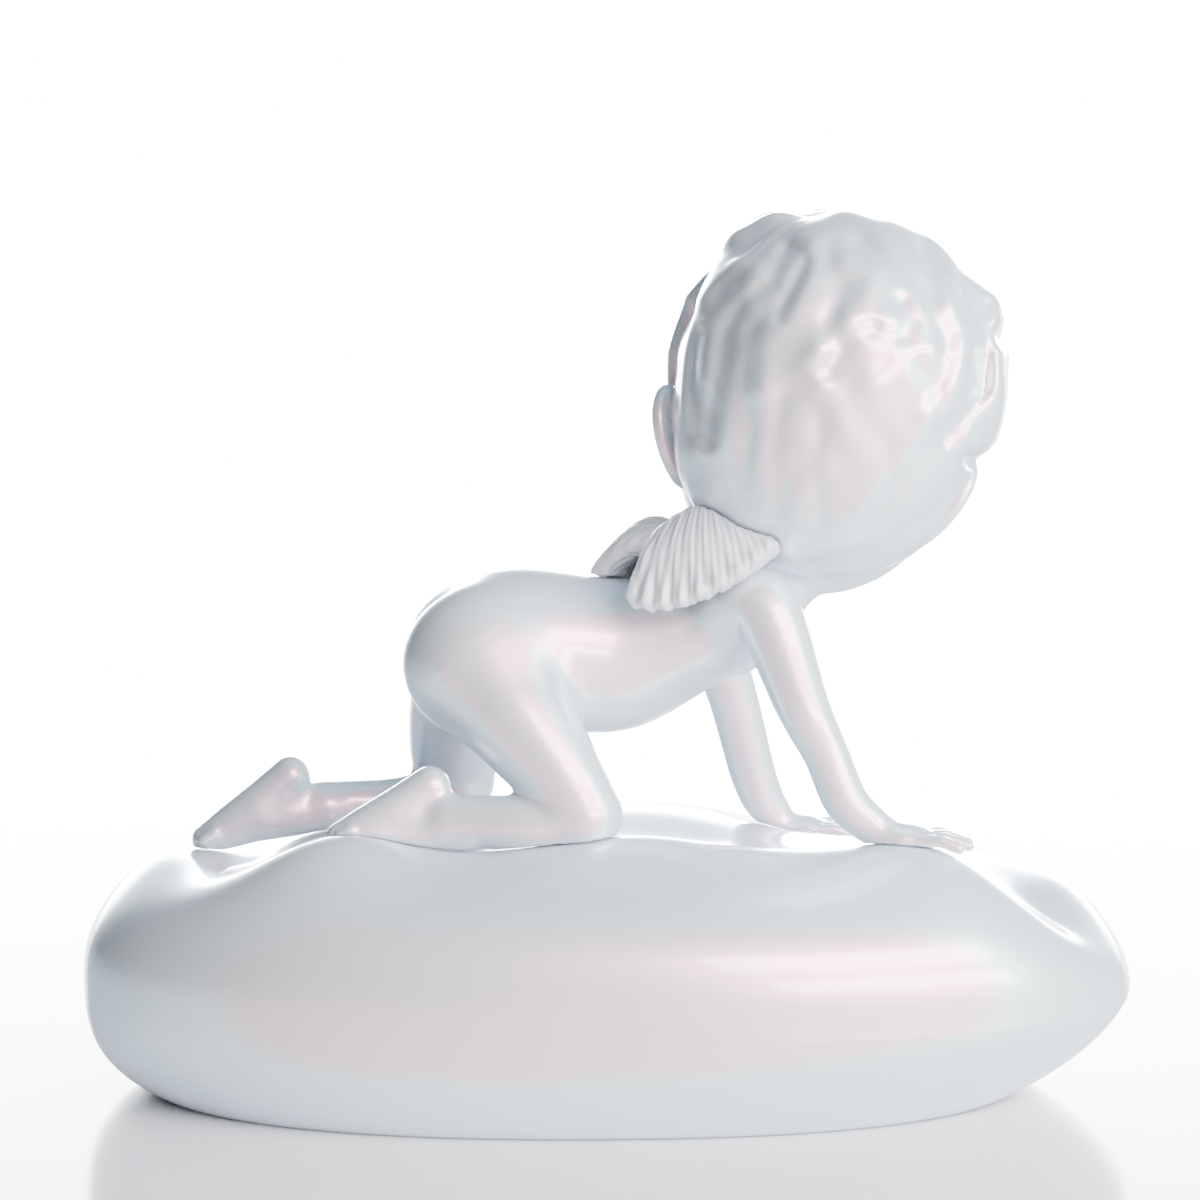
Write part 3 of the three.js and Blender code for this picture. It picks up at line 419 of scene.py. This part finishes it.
def face_at(q, d):
    """works brows, closed eyes, nose, lips and a parted mouth into the front of the head"""
    brow = [(21, 31.8, -4.2), (14, 36.8, -0.6), (7, 38, -0.6)]
    lash = [(8, 35.4, -15), (11.5, 37.6, -17), (15.5, 37.9, -17.8), (19.5, 36.4, -16.8), (22.5, 33.2, -14.2)]
    lip = [(1.8, 38.7, -29.7), (7.4, 36.2, -29.8)]
    for side in (-1, 1):
        d = smax(d, -ellipsoid(q, (side * 15, 40, -12.5), (9.5, 4, 6)), 6)
        d = smin(d, bar(q, mirrored(brow, side), (1.5, 2, 1.4)), 6)
        d = smin(d, ellipsoid(q, (side * 14.8, 31, -14.2), (7.8, 6, 5.6)), 3)
        d = smax(d, -tube(q, mirrored(lash, side), (0.5, 0.7, 0.7, 0.7, 0.5), 3), 0.6)
        d = smin(d, bar(q, mirrored(lip, side), (1.9, 0.8)), 1.6)
    d = smin(d, bar(q, [(0, 37, -8), (0, 39.6, -15), (0, 42.6, -20.5)], (2.2, 2.5, 3.3)), 4)
    for side in (-1, 1):
        d = smin(d, ellipsoid(q, (side * 3.9, 40, -22.2), (2.7, 3, 2.3)), 2)
    d = smin(d, bar(q, [(-5.6, 36.7, -32.5), (0, 38.2, -33.7), (5.6, 36.7, -32.5)], (1.1, 2.1, 1.1)), 1.8)
    mouth = [(-8.4, 36.6, -29.8), (-4, 39.6, -31.2), (0, 41, -31.6), (4, 39.6, -31.2), (8.4, 36.6, -29.8)]
    return smax(d, -bar(q, mouth, (0.4, 0.5, 0.55, 0.5, 0.4)), 0.8)


def hair_at(p, q):
    """the cap of hair: joined ellipsoids with relief, ended in front by a waved hairline"""
    cap = ellipsoid(q, (2, -3, 9), (43.8, 44, 43))
    cap = smin(cap, ellipsoid(q, (0, -7, -16), (36, 32, 30)), 16)
    cap = smin(cap, ellipsoid(q, (-24, 4, 33), (13, 13, 13)), 6)
    cap = smin(cap, ellipsoid(q, (27, -2, 29.5), (13, 13, 13)), 6)
    cap = smin(cap, ellipsoid(q, (-8, 12, 37), (13, 13, 13)), 6)
    lock = [(-33, 14, 29), (-40.8, 12, 17), (-42.3, 10, 2), (-41, 8, -8)]
    cap = smin(cap, bar(q, lock, (5, 4, 3, 2.5)), 2.5)
    cap = cap - hair_relief(p, q)
    hairline = (q[:, 1] - 22) * 0.62 - (q[:, 2] - 4) * 0.78
    hairline = hairline + 2 * np.sin(q[:, 0] * 0.34 + 0.6) + 1.2 * np.sin(q[:, 0] * 0.8)
    return smax(cap, smin(hairline, (q[:, 1] + 8) * 0.9, 5), 3)


EARS = ((-1, (-36.6, -1, -17.5), -28, -24), (1, (34, -8, -17.5), 22, 20.5))  # side, place, yaw, roll


def with_ear(q, d, side, place, yaw, roll):
    """adds an ear: a thin plate with a rolled rim, hollowed outside, over a shallow hollow of the head"""
    e = (q - np.array(place)) @ axes(yaw=yaw, roll=roll)
    e[:, 0] *= side
    d = smax(d, -ellipsoid(e, (8.5, -6, 0), (10.5, 16, 16)), 2)
    rim = [(-0.5, 6, 4), (1.2, 4, 10.6), (1.8, -2, 12.2), (2, -6.4, 7.5), (2, -7, 0)]
    rim += [(1.8, -4.4, -7.5), (1, 0.5, -12), (0, 4, -9)]
    rolled = tube(e, rim, (1.6, 1.9, 2, 2, 2, 2, 2.5, 1.8), 3)
    plate = smin(ellipsoid(e, (0.6, 0.5, 0), (2.6, 7, 12)), rolled, 1.5)
    return smin(d, smax(plate, -ellipsoid(e, (4.5, 0.8, 0), (3.2, 4.6, 8.5)), 1.5), 1.5)


def head_at(p):
    """skull, cheeks and chin, then the face, the hair and the ears"""
    q = (p - np.array(HEAD_AT)) @ axes(*HEAD_TURN)
    d = ellipsoid(q, (0, 7, -19), (36, 31, 34.5))
    d = smin(d, ellipsoid(q, (1, -2, 8), (40, 41, 40)), 10)
    for side in (-1, 1):
        d = smin(d, ellipsoid(q, (side * 17, 23, -27), (13, 12.5, 12)), 8)
    d = smin(d, ellipsoid(q, (0, 31.5, -42), (8.5, 7.5, 6.5)), 8)
    front = q[:, 1] > 20
    d[front] = face_at(q[front], d[front])
    d = smin(d, hair_at(p, q), 2)
    for ear in EARS:
        close = size(q - np.array(ear[1])) < 30
        d[close] = with_ear(q[close], d[close], *ear)
    return d


def torso_at(p):
    """hips, belly and chest with soft joins, and the two buttocks"""
    d = ellipsoid(p, (-25.5, 0, 119.2), (22.5, 24, 20.8))
    d = smin(d, ellipsoid(p, (-2, 1, 116.4), (27, 20, 20.8)), 12)
    chest = (p - np.array([26, 3, 124])) @ axes(yaw=20, roll=-14)
    d = smin(d, ellipsoid(chest, (0, 0, 0), (22, 21.5, 14.5)), 12)
    for side in (-1, 1):
        d = smin(d, ellipsoid(p, (-33.5, side * 11.5, 116.8), (20.3, 15.5, 19.4)), 5)
    return d


def foot_at(p, heel, toe, ankle):
    """a foot on its upper side: the heel is up and the toes reach back and down to the base"""
    heel, toe = np.array(heel), np.array(toe)
    run = toe - heel
    long = np.linalg.norm(run)
    sole = [heel, heel + run * 0.35 + (0, 0, -0.6), heel + run * 0.7 + (0, 0, -0.8), toe]
    instep = [ankle, heel + run * 0.33 + (0, 0, -7), toe + (0, 0, -1.5)]
    d = smin(tube(p, sole, (5.4, 5, 4.4, 2.4), 4), bar(p, instep, (6, 5.6, 2.4)), 6)
    for k in (-2, -1, 0, 1, 2):
        shift = np.array([0.5, k * 1.9, 0.6 - 0.25 * abs(k)])
        ends = [heel + run * (1 - 3 / long) + shift, heel + run * (1 + 1.2 / long) + shift]
        d = smin(d, bar(p, ends, (1.7, 1.5)), 1)
    return d


def hand_at(p, at, yaw, side):
    """a flat palm, four fingers forward and a thumb on the inner side (-1 is the right hand)"""

    def inside(near_p):
        q = (near_p - np.array(at)) @ axes(yaw)
        d = ellipsoid(q, (0, 0, 0), (8.5, 6.5, 4.2))
        for y, long in ((-4.6, 10), (-1.6, 12.5), (1.5, 12.5), (4.4, 10.5)):
            finger = [(4.5, y, 0.2), (4.5 + long / 2, y * 1.25, 0.8), (4.5 + long, y * 1.45, -1.2)]
            d = smin(d, bar(q, finger, (1.9, 1.6, 1.4)), 1.2)
        thumb = [(-3, -side * 5, -0.5), (3, -side * 9.5, -0.6), (7, -side * 10.8, -1.2)]
        return smin(d, bar(q, thumb, (2.4, 1.9, 1.5)), 1.6)

    return near(p, at, HAND_REACH, inside)


RIGHT_ARM = (
    [(34, -14, 131), (41.5, -20.5, 132), (51, -28, 108), (57.3, -29.3, 95), (63, -30, 82), (71, -30, 74.5)],
    (10, 9.2, 7.1, 6.0, 5.9, 5),
)
LEFT_ARM = (
    [(21, 14, 129), (23, 23.5, 131), (33.5, 30.5, 105), (41.5, 34, 76), (47, 35, 66)],
    (10, 8.8, 7, 6.2, 5),
)
RIGHT_THIGH = ([(-34, -13, 115), (-23.5, -21, 103), (-11, -29, 87), (-6, -31, 79)], (17, 14.6, 10.9, 9.8))
LEFT_THIGH = ([(-34, 13, 115), (-39.5, 24, 102), (-42.3, 36, 86), (-42, 39, 77)], (17, 14.5, 12.6, 10.5))
RIGHT_SHIN = ([(-6, -31, 77), (-22, -31, 76.2), (-41, -28, 77)], (9, 7.8, 6.3))
LEFT_SHIN = ([(-42.5, 39, 73.5), (-56, 35, 70.5), (-78, 30, 70.5)], (9.5, 7.0, 6.2))
NECK = ([(32, 4, 128), (44.5, 6, 138), (55, 7, 152)], (14.5, 13, 14))


def figure_at(p):
    """the whole figure, before the base's top is cut from it"""
    d = smin(torso_at(p), tube(p, *NECK), 8)
    d = smin(d, tube(p, *RIGHT_ARM), 6)
    d = smin(d, tube(p, *LEFT_ARM), 6)
    d = smin(d, smin(tube(p, *RIGHT_THIGH), tube(p, *RIGHT_SHIN), 3), 7)
    d = smin(d, smin(tube(p, *LEFT_THIGH), tube(p, *LEFT_SHIN), 3), 7)
    d = smin(d, foot_at(p, (-46.8, -25.5, 85.3), (-70.5, -28.5, 73), (-38, -28, 74)), 3)
    d = smin(d, foot_at(p, (-87.6, 26, 79.2), (-111, 24, 62.5), (-78, 29, 69)), 3)
    d = smin(d, hand_at(p, (78, -31, 72.2), -4, -1), 3)
    d = smin(d, hand_at(p, (53.5, 36, 62.2), 6, 1), 3)
    return smin(d, near(p, HEAD_AT, HEAD_REACH, head_at), 3)


def resting_at(p):
    """the figure less everything below the base's top and the gap over it"""
    d = figure_at(p)
    low = (p[:, 2] < 90) & (d < 8)
    d[low] = smax(d[low], top_at(p[low, 0], p[low, 1]) + GAP - p[low, 2], 0.5)
    return d


def surface_net(at, lo, hi, step, block=4):
    """vertices and quads of a field's zero surface: a vertex in each cell it crosses, at the mean of the
    crossings on the cell's edges, and a quad round each grid edge that it crosses. The field is worked out
    in full only in blocks of cells near the surface"""
    lo = np.asarray(lo, float)
    n = np.ceil((np.asarray(hi) - lo) / step / block).astype(int) * block + 1
    coarse = [lo[i] + step * np.arange(0, n[i], block) for i in range(3)]
    sample = np.stack(np.meshgrid(*coarse, indexing="ij"), -1)
    rough = at(sample.reshape(-1, 3)).reshape(sample.shape[:3])
    touched = np.zeros(np.array(rough.shape) - 1, bool)
    for i, j, k in np.ndindex(2, 2, 2):
        corner = rough[i : rough.shape[0] - 1 + i, j : rough.shape[1] - 1 + j, k : rough.shape[2] - 1 + k]
        touched |= np.abs(corner) < step * block * 1.9
    field = np.full(n, 1e3)
    spread = np.repeat(np.repeat(np.repeat(rough[:-1, :-1, :-1], block, 0), block, 1), block, 2)
    field[:-1, :-1, :-1] = spread
    needed = np.zeros(n, bool)
    inner = np.stack(np.meshgrid(*[np.arange(block + 1)] * 3, indexing="ij"), -1).reshape(-1, 3)
    spots = (np.argwhere(touched)[:, None] * block + inner[None]).reshape(-1, 3)
    needed[tuple(spots.T)] = True
    field[needed] = at(lo + step * np.argwhere(needed))
    for _ in range(12):
        verts, cells, quads = join_cells(field, lo, step)
        knots = shared_twice(quads)
        if len(knots) == 0:
            break
        # where two sheets meet in one cell, its nearest outer corner is filled in
        corners = cells[knots][:, None] + np.array(list(np.ndindex(2, 2, 2)))[None]
        values = field[tuple(corners.reshape(-1, 3).T)].reshape(-1, 8)
        outer = np.where(values >= 0, values, 1e9)
        pick = corners[np.arange(len(corners)), outer.argmin(1)][outer.min(1) < 1e8]
        field[tuple(pick.T)] = -0.02
    return verts, quads


def join_cells(field, lo, step):
    """one pass of the net over a filled grid"""
    n = np.array(field.shape)
    inside = field < 0
    views = [inside[i : n[0] - 1 + i, j : n[1] - 1 + j, k : n[2] - 1 + k] for i, j, k in np.ndindex(2, 2, 2)]
    cells = np.argwhere(np.logical_or.reduce(views) & ~np.logical_and.reduce(views))
    ids = np.full(n - 1, -1)
    ids[tuple(cells.T)] = np.arange(len(cells))
    total = np.zeros((len(cells), 3))
    count = np.zeros(len(cells))
    for corner in np.ndindex(2, 2, 2):
        for axis in range(3):
            if corner[axis]:
                continue
            start = np.array(corner)
            end = start.copy()
            end[axis] = 1
            a = field[tuple((cells + start).T)]
            b = field[tuple((cells + end).T)]
            crossed = (a < 0) != (b < 0)
            t = np.where(crossed, a / (a - b + (a == b)), 0)
            total += (start + t[:, None] * (end - start)) * crossed[:, None]
            count += crossed
    verts = lo + step * (cells + total / count[:, None])
    quads = []
    for axis in range(3):
        u, v = (axis + 1) % 3, (axis + 2) % 3
        change = np.argwhere(np.diff(inside.astype(np.int8), axis=axis) != 0)
        along_u, along_v = change[:, u], change[:, v]
        whole = (along_u > 0) & (along_v > 0) & (along_u < n[u] - 1) & (along_v < n[v] - 1)
        change = change[whole]
        du, dv = np.eye(3, dtype=int)[u], np.eye(3, dtype=int)[v]
        four = np.stack([ids[tuple((change - s).T)] for s in (du + dv, dv, 0 * du, du)], -1)
        outward = inside[tuple(change.T)]
        four[~outward] = four[~outward][:, ::-1]
        quads.append(four)
    return verts, cells, np.vstack(quads)


def shared_twice(quads):
    """the vertices of edges that have more than two faces"""
    ends = np.sort(np.stack([quads, np.roll(quads, -1, 1)], -1).reshape(-1, 2), 1)
    edges, uses = np.unique(ends, axis=0, return_counts=True)
    return np.unique(edges[uses > 2])


def settle(verts, at, times=2):
    """moves vertices onto the surface: back by the distance over the slope, along the slope"""
    for _ in range(times):
        slope = np.stack([at(verts + s) - at(verts - s) for s in np.eye(3) * 0.05], -1) / 0.1
        push = at(verts) / np.maximum((slope * slope).sum(-1), 0.25)
        verts = verts - slope * np.clip(push, -0.4, 0.4)[:, None]
    return verts


verts, quads = surface_net(resting_at, (-122, -60, 54), (116, 66, 242), NET_STEP)
figure = make_piece("cherub_figure", settle(verts, resting_at), quads.tolist(), "pearl_lacquer")
figure.data.materials.append(pearl)


# Wings: two small castings, glued to slots on the shoulder blades and left a satin white. Each is a fan
# of ten feathers that rise from the root to a crest and bend down to rounded tips, with nine lower ones
# in the gaps between them and fine barbs along them.

RIGHT_WING_AT = (29.0, 1.0, 137.0)
LEFT_WING_AT = (27.5, 1.0, 135.3)
WING_TURN = (25.0, -9.0, 0.0)
FEATHERS = 10
TIPS = ((-30.5, 12.5, -3), (-26, 22.5, -10.5), (-6, 34.5, 2.2), (5, 28, 9.8))
CREST = ((-18.3, 9.5, 12), (-11, 14, 18.2), (-5, 15.5, 19.3), (-0.5, 17, 8.8))
UNDER_SHIFT = np.array([0.3, -1.7, -0.6])  # the lower feathers, seen between the tips
ROOT = np.array([-3.0, 6.0, 2.0])
WING_STEP = 0.45


def bezier(k, t):
    """a point of the cubic curve with the four control points k"""
    k = np.array(k, float)
    u = 1 - t
    return k[0] * u**3 + 3 * k[1] * t * u * u + 3 * k[2] * t * t * u + k[3] * t**3


def feather(k):
    """points and radii of feather k, from the root over the crest to the tip; a half k is a lower one"""
    t = k / (FEATHERS - 1)
    shift = UNDER_SHIFT if k % 1 else 0
    tip, crest = bezier(TIPS, t) + shift, bezier(CREST, t) + shift
    bend = (tip + crest) / 2 + np.array([-1.2, 2.2, 2.8]) * (1 - 0.4 * t - 1.2 * max(t - 0.75, 0))
    rise = (ROOT + crest) / 2 + (0, 0, 2)
    tip_radius = 2.0 + 0.8 * t * t + (0.3 if k == 1 else 0)
    return [ROOT, rise, crest, bend, tip], (2.2, 1.9, 1.9, 1.8, tip_radius)


def flow_at(q):
    """across the fan as millimetres of arc at 24 mm from the root, and along it as distance from the root"""
    c = q - ROOT
    return 24 * np.arctan2(c[:, 0], c[:, 1]), size(c)


def wing_at(p, side):
    """a wing: its feathers, with wide fillets near the root and narrow ones at the tips, kept clear of
    the figure's back"""
    q = (p - np.array(LEFT_WING_AT if side > 0 else RIGHT_WING_AT)) @ axes(*WING_TURN)
    q[:, 1] *= side
    d = np.full(len(q), 1e3)
    turn, along = flow_at(q)
    fillet = 0.8 + 2.8 * ramp(30, 21, along)
    for k in range(2 * FEATHERS - 1):
        d = smin(d, tube(q, *feather(k / 2), 4), fillet)
    barbs = 0.12 * np.sin(turn * 3.1 + 1.6 * np.sin(along * 0.45)) + 0.12 * np.sin(turn * 1.3 - along * 1.1)
    return smax(d - barbs * ramp(3, 9, along), 0.6 - figure_at(p), 0.4)


# Wing satin: the white enamel painted greyer than the figure's as painted shade, with a thin satin pearl
# over it, and fine barbs along the feathers.
satin = bpy.data.materials.new("wing_satin")
satin.use_nodes = True
tree = satin.node_tree
tree.nodes.clear()
where = add(tree, "ShaderNodeTexCoord").outputs["Object"]
tone = add(tree, "ShaderNodeTexNoise", {"Vector": where, "Scale": 1000 / 12, "Detail": 3.0})
# painted shade: the wing white is set greyer than the figure's enamel to stand for the shade on the wings;
# the noise only varies its tone
white = add(tree, "ShaderNodeValToRGB", {"Fac": tone.outputs["Fac"]})
white.color_ramp.elements[0].position = 0.3
white.color_ramp.elements[0].color = linear("#CAC9D0")
white.color_ramp.elements[1].position = 0.7
white.color_ramp.elements[1].color = linear("#D8D6DA")
flow = add(tree, "ShaderNodeAttribute", attribute_name="flow").outputs["Vector"]
barbs = add(tree, "ShaderNodeTexNoise", {"Vector": flow, "Scale": 1.0, "Detail": 2.0, "Distortion": 0.6})
skin = add(tree, "ShaderNodeBump", {"Height": barbs.outputs["Fac"], "Strength": 0.5, "Distance": 0.0005})
wing_white = add(
    tree,
    "ShaderNodeBsdfPrincipled",
    {
        "Base Color": white.outputs["Color"],
        "Metallic": 0.1,
        "Roughness": 0.5,
        "Coat Weight": 0.4,
        "Coat Roughness": 0.3,
        "Normal": skin.outputs["Normal"],
        "Coat Normal": skin.outputs["Normal"],
    },
)
add(tree, "ShaderNodeOutputMaterial", {"Surface": wing_white.outputs["BSDF"]})

for name, side, lo, hi in (
    ("right_wing", -1, (-4, -38, 120), (56, 6, 166)),
    ("left_wing", 1, (-18, -6, 120), (42, 40, 166)),
):
    verts, quads = surface_net(lambda p: wing_at(p, side), lo, hi, WING_STEP)
    verts = settle(verts, lambda p: wing_at(p, side))
    wing = make_piece(name, verts, quads.tolist(), "wing_white")
    q = (verts - np.array(LEFT_WING_AT if side > 0 else RIGHT_WING_AT)) @ axes(*WING_TURN)
    turn, along = flow_at(q * (1, side, 1))
    flow = np.stack([turn * 0.9, along * 0.22, 0 * along], -1)
    wing.data.attributes.new("flow", "FLOAT_VECTOR", "POINT").data.foreach_set("vector", flow.ravel())
    wing.data.materials.append(satin)


# Stage: a pale gloss table top, a room that is dim on the left, a lit white screen behind, and two soft
# boxes at the front right. None of it is part of the object, and its lengths are in metres.
# The camera looks along +Y from 1.1 m, 7.5 degrees down, as the photographer's does.

ROOM_LEFT = 0.08  # brightness of the room on the left and right
ROOM_RIGHT = 1.6
SCREEN = 45.0  # brightness of the lit white screen behind the object
EYE_DISTANCE = 1.1
SEEN_WIDTH = 0.32244  # what the frame takes in at that distance
LOOKED_AT = Vector((-0.0019, 0, 0.1316))
SENSOR = 36.0

table_mesh = bpy.data.meshes.new("table")
table_mesh.from_pydata([(-6, -6, 0), (6, -6, 0), (6, 6, 0), (-6, 6, 0)], [], [(0, 1, 2, 3)])
table = bpy.data.objects.new("table", table_mesh)
bpy.context.scene.collection.objects.link(table)
table.location.z = -0.0003

gloss = bpy.data.materials.new("table_gloss")
gloss.use_nodes = True
tree = gloss.node_tree
tree.nodes.clear()
where = add(tree, "ShaderNodeTexCoord").outputs["Object"]
cast = add(tree, "ShaderNodeTexNoise", {"Vector": where, "Scale": 3.0, "Detail": 2.0})
pale = add(tree, "ShaderNodeValToRGB", {"Fac": cast.outputs["Fac"]})
pale.color_ramp.elements[0].color = linear("#EDEDEF")
pale.color_ramp.elements[1].color = linear("#F2F2F3")
plate = add(tree, "ShaderNodeBsdfPrincipled", {"Base Color": pale.outputs["Color"], "Roughness": 0.14})
add(tree, "ShaderNodeOutputMaterial", {"Surface": plate.outputs["BSDF"]})
table_mesh.materials.append(gloss)

world = bpy.data.worlds.new("white_studio")
world.use_nodes = True
tree = world.node_tree
tree.nodes.clear()
heading = add(tree, "ShaderNodeTexCoord").outputs["Generated"]
way = add(tree, "ShaderNodeSeparateXYZ", {"Vector": heading})
room = add(
    tree,
    "ShaderNodeMapRange",
    {
        "Value": way.outputs["X"],
        "From Min": -0.8,
        "From Max": 0.8,
        "To Min": ROOM_LEFT,
        "To Max": ROOM_RIGHT,
    },
    interpolation_type="SMOOTHSTEP",
)
behind = add(
    tree,
    "ShaderNodeMapRange",
    {"Value": way.outputs["Y"], "From Min": 0.84, "From Max": 0.96},
    interpolation_type="SMOOTHSTEP",
)
low = add(
    tree,
    "ShaderNodeMapRange",
    {"Value": way.outputs["Z"], "From Min": 0.36, "From Max": 0.19},
    interpolation_type="SMOOTHSTEP",
)
screen = add(
    tree,
    "ShaderNodeMath",
    {0: behind.outputs["Result"], 1: low.outputs["Result"]},
    operation="MULTIPLY",
)
shine = add(
    tree,
    "ShaderNodeMath",
    {0: screen.outputs["Value"], 1: SCREEN, 2: room.outputs["Result"]},
    operation="MULTIPLY_ADD",
)
sky = add(tree, "ShaderNodeValToRGB", {"Fac": way.outputs["Z"]})
sky.color_ramp.elements[0].position = 0.2
sky.color_ramp.elements[0].color = linear("#FFFFFF")
sky.color_ramp.elements[1].position = 0.8
sky.color_ramp.elements[1].color = linear("#D2EAFF")
glow = add(tree, "ShaderNodeBackground", {"Color": sky.outputs["Color"], "Strength": shine.outputs["Value"]})
add(tree, "ShaderNodeOutputWorld", {"Surface": glow.outputs["Background"]})
bpy.context.scene.world = world


def soft_light(name, place, aim, wide, high, watts):
    """a white rectangular soft box at place, turned to aim"""
    light = bpy.data.lights.new(name, "AREA")
    light.shape = "RECTANGLE"
    light.size = wide
    light.size_y = high
    light.energy = watts
    box = bpy.data.objects.new(name, light)
    box.location = place
    box.rotation_euler = (Vector(aim) - Vector(place)).to_track_quat("-Z", "Y").to_euler()
    bpy.context.scene.collection.objects.link(box)


soft_light("front_box", (0.78, -0.9, 0.8), (0, 0, 0.12), 1.3, 0.36, 36)
soft_light("low_box", (0.95, -0.98, 0.36), (0, 0, 0.06), 1.3, 0.22, 26)

sight = Vector((0, math.cos(LOOK_DOWN), -math.sin(LOOK_DOWN)))
camera_data = bpy.data.cameras.new("camera")
camera_data.sensor_width = SENSOR
camera_data.lens = SENSOR * EYE_DISTANCE / SEEN_WIDTH
camera = bpy.data.objects.new("camera", camera_data)
camera.location = LOOKED_AT - EYE_DISTANCE * sight
camera.rotation_euler = sight.to_track_quat("-Z", "Y").to_euler()
bpy.context.scene.collection.objects.link(camera)
bpy.context.scene.camera = camera
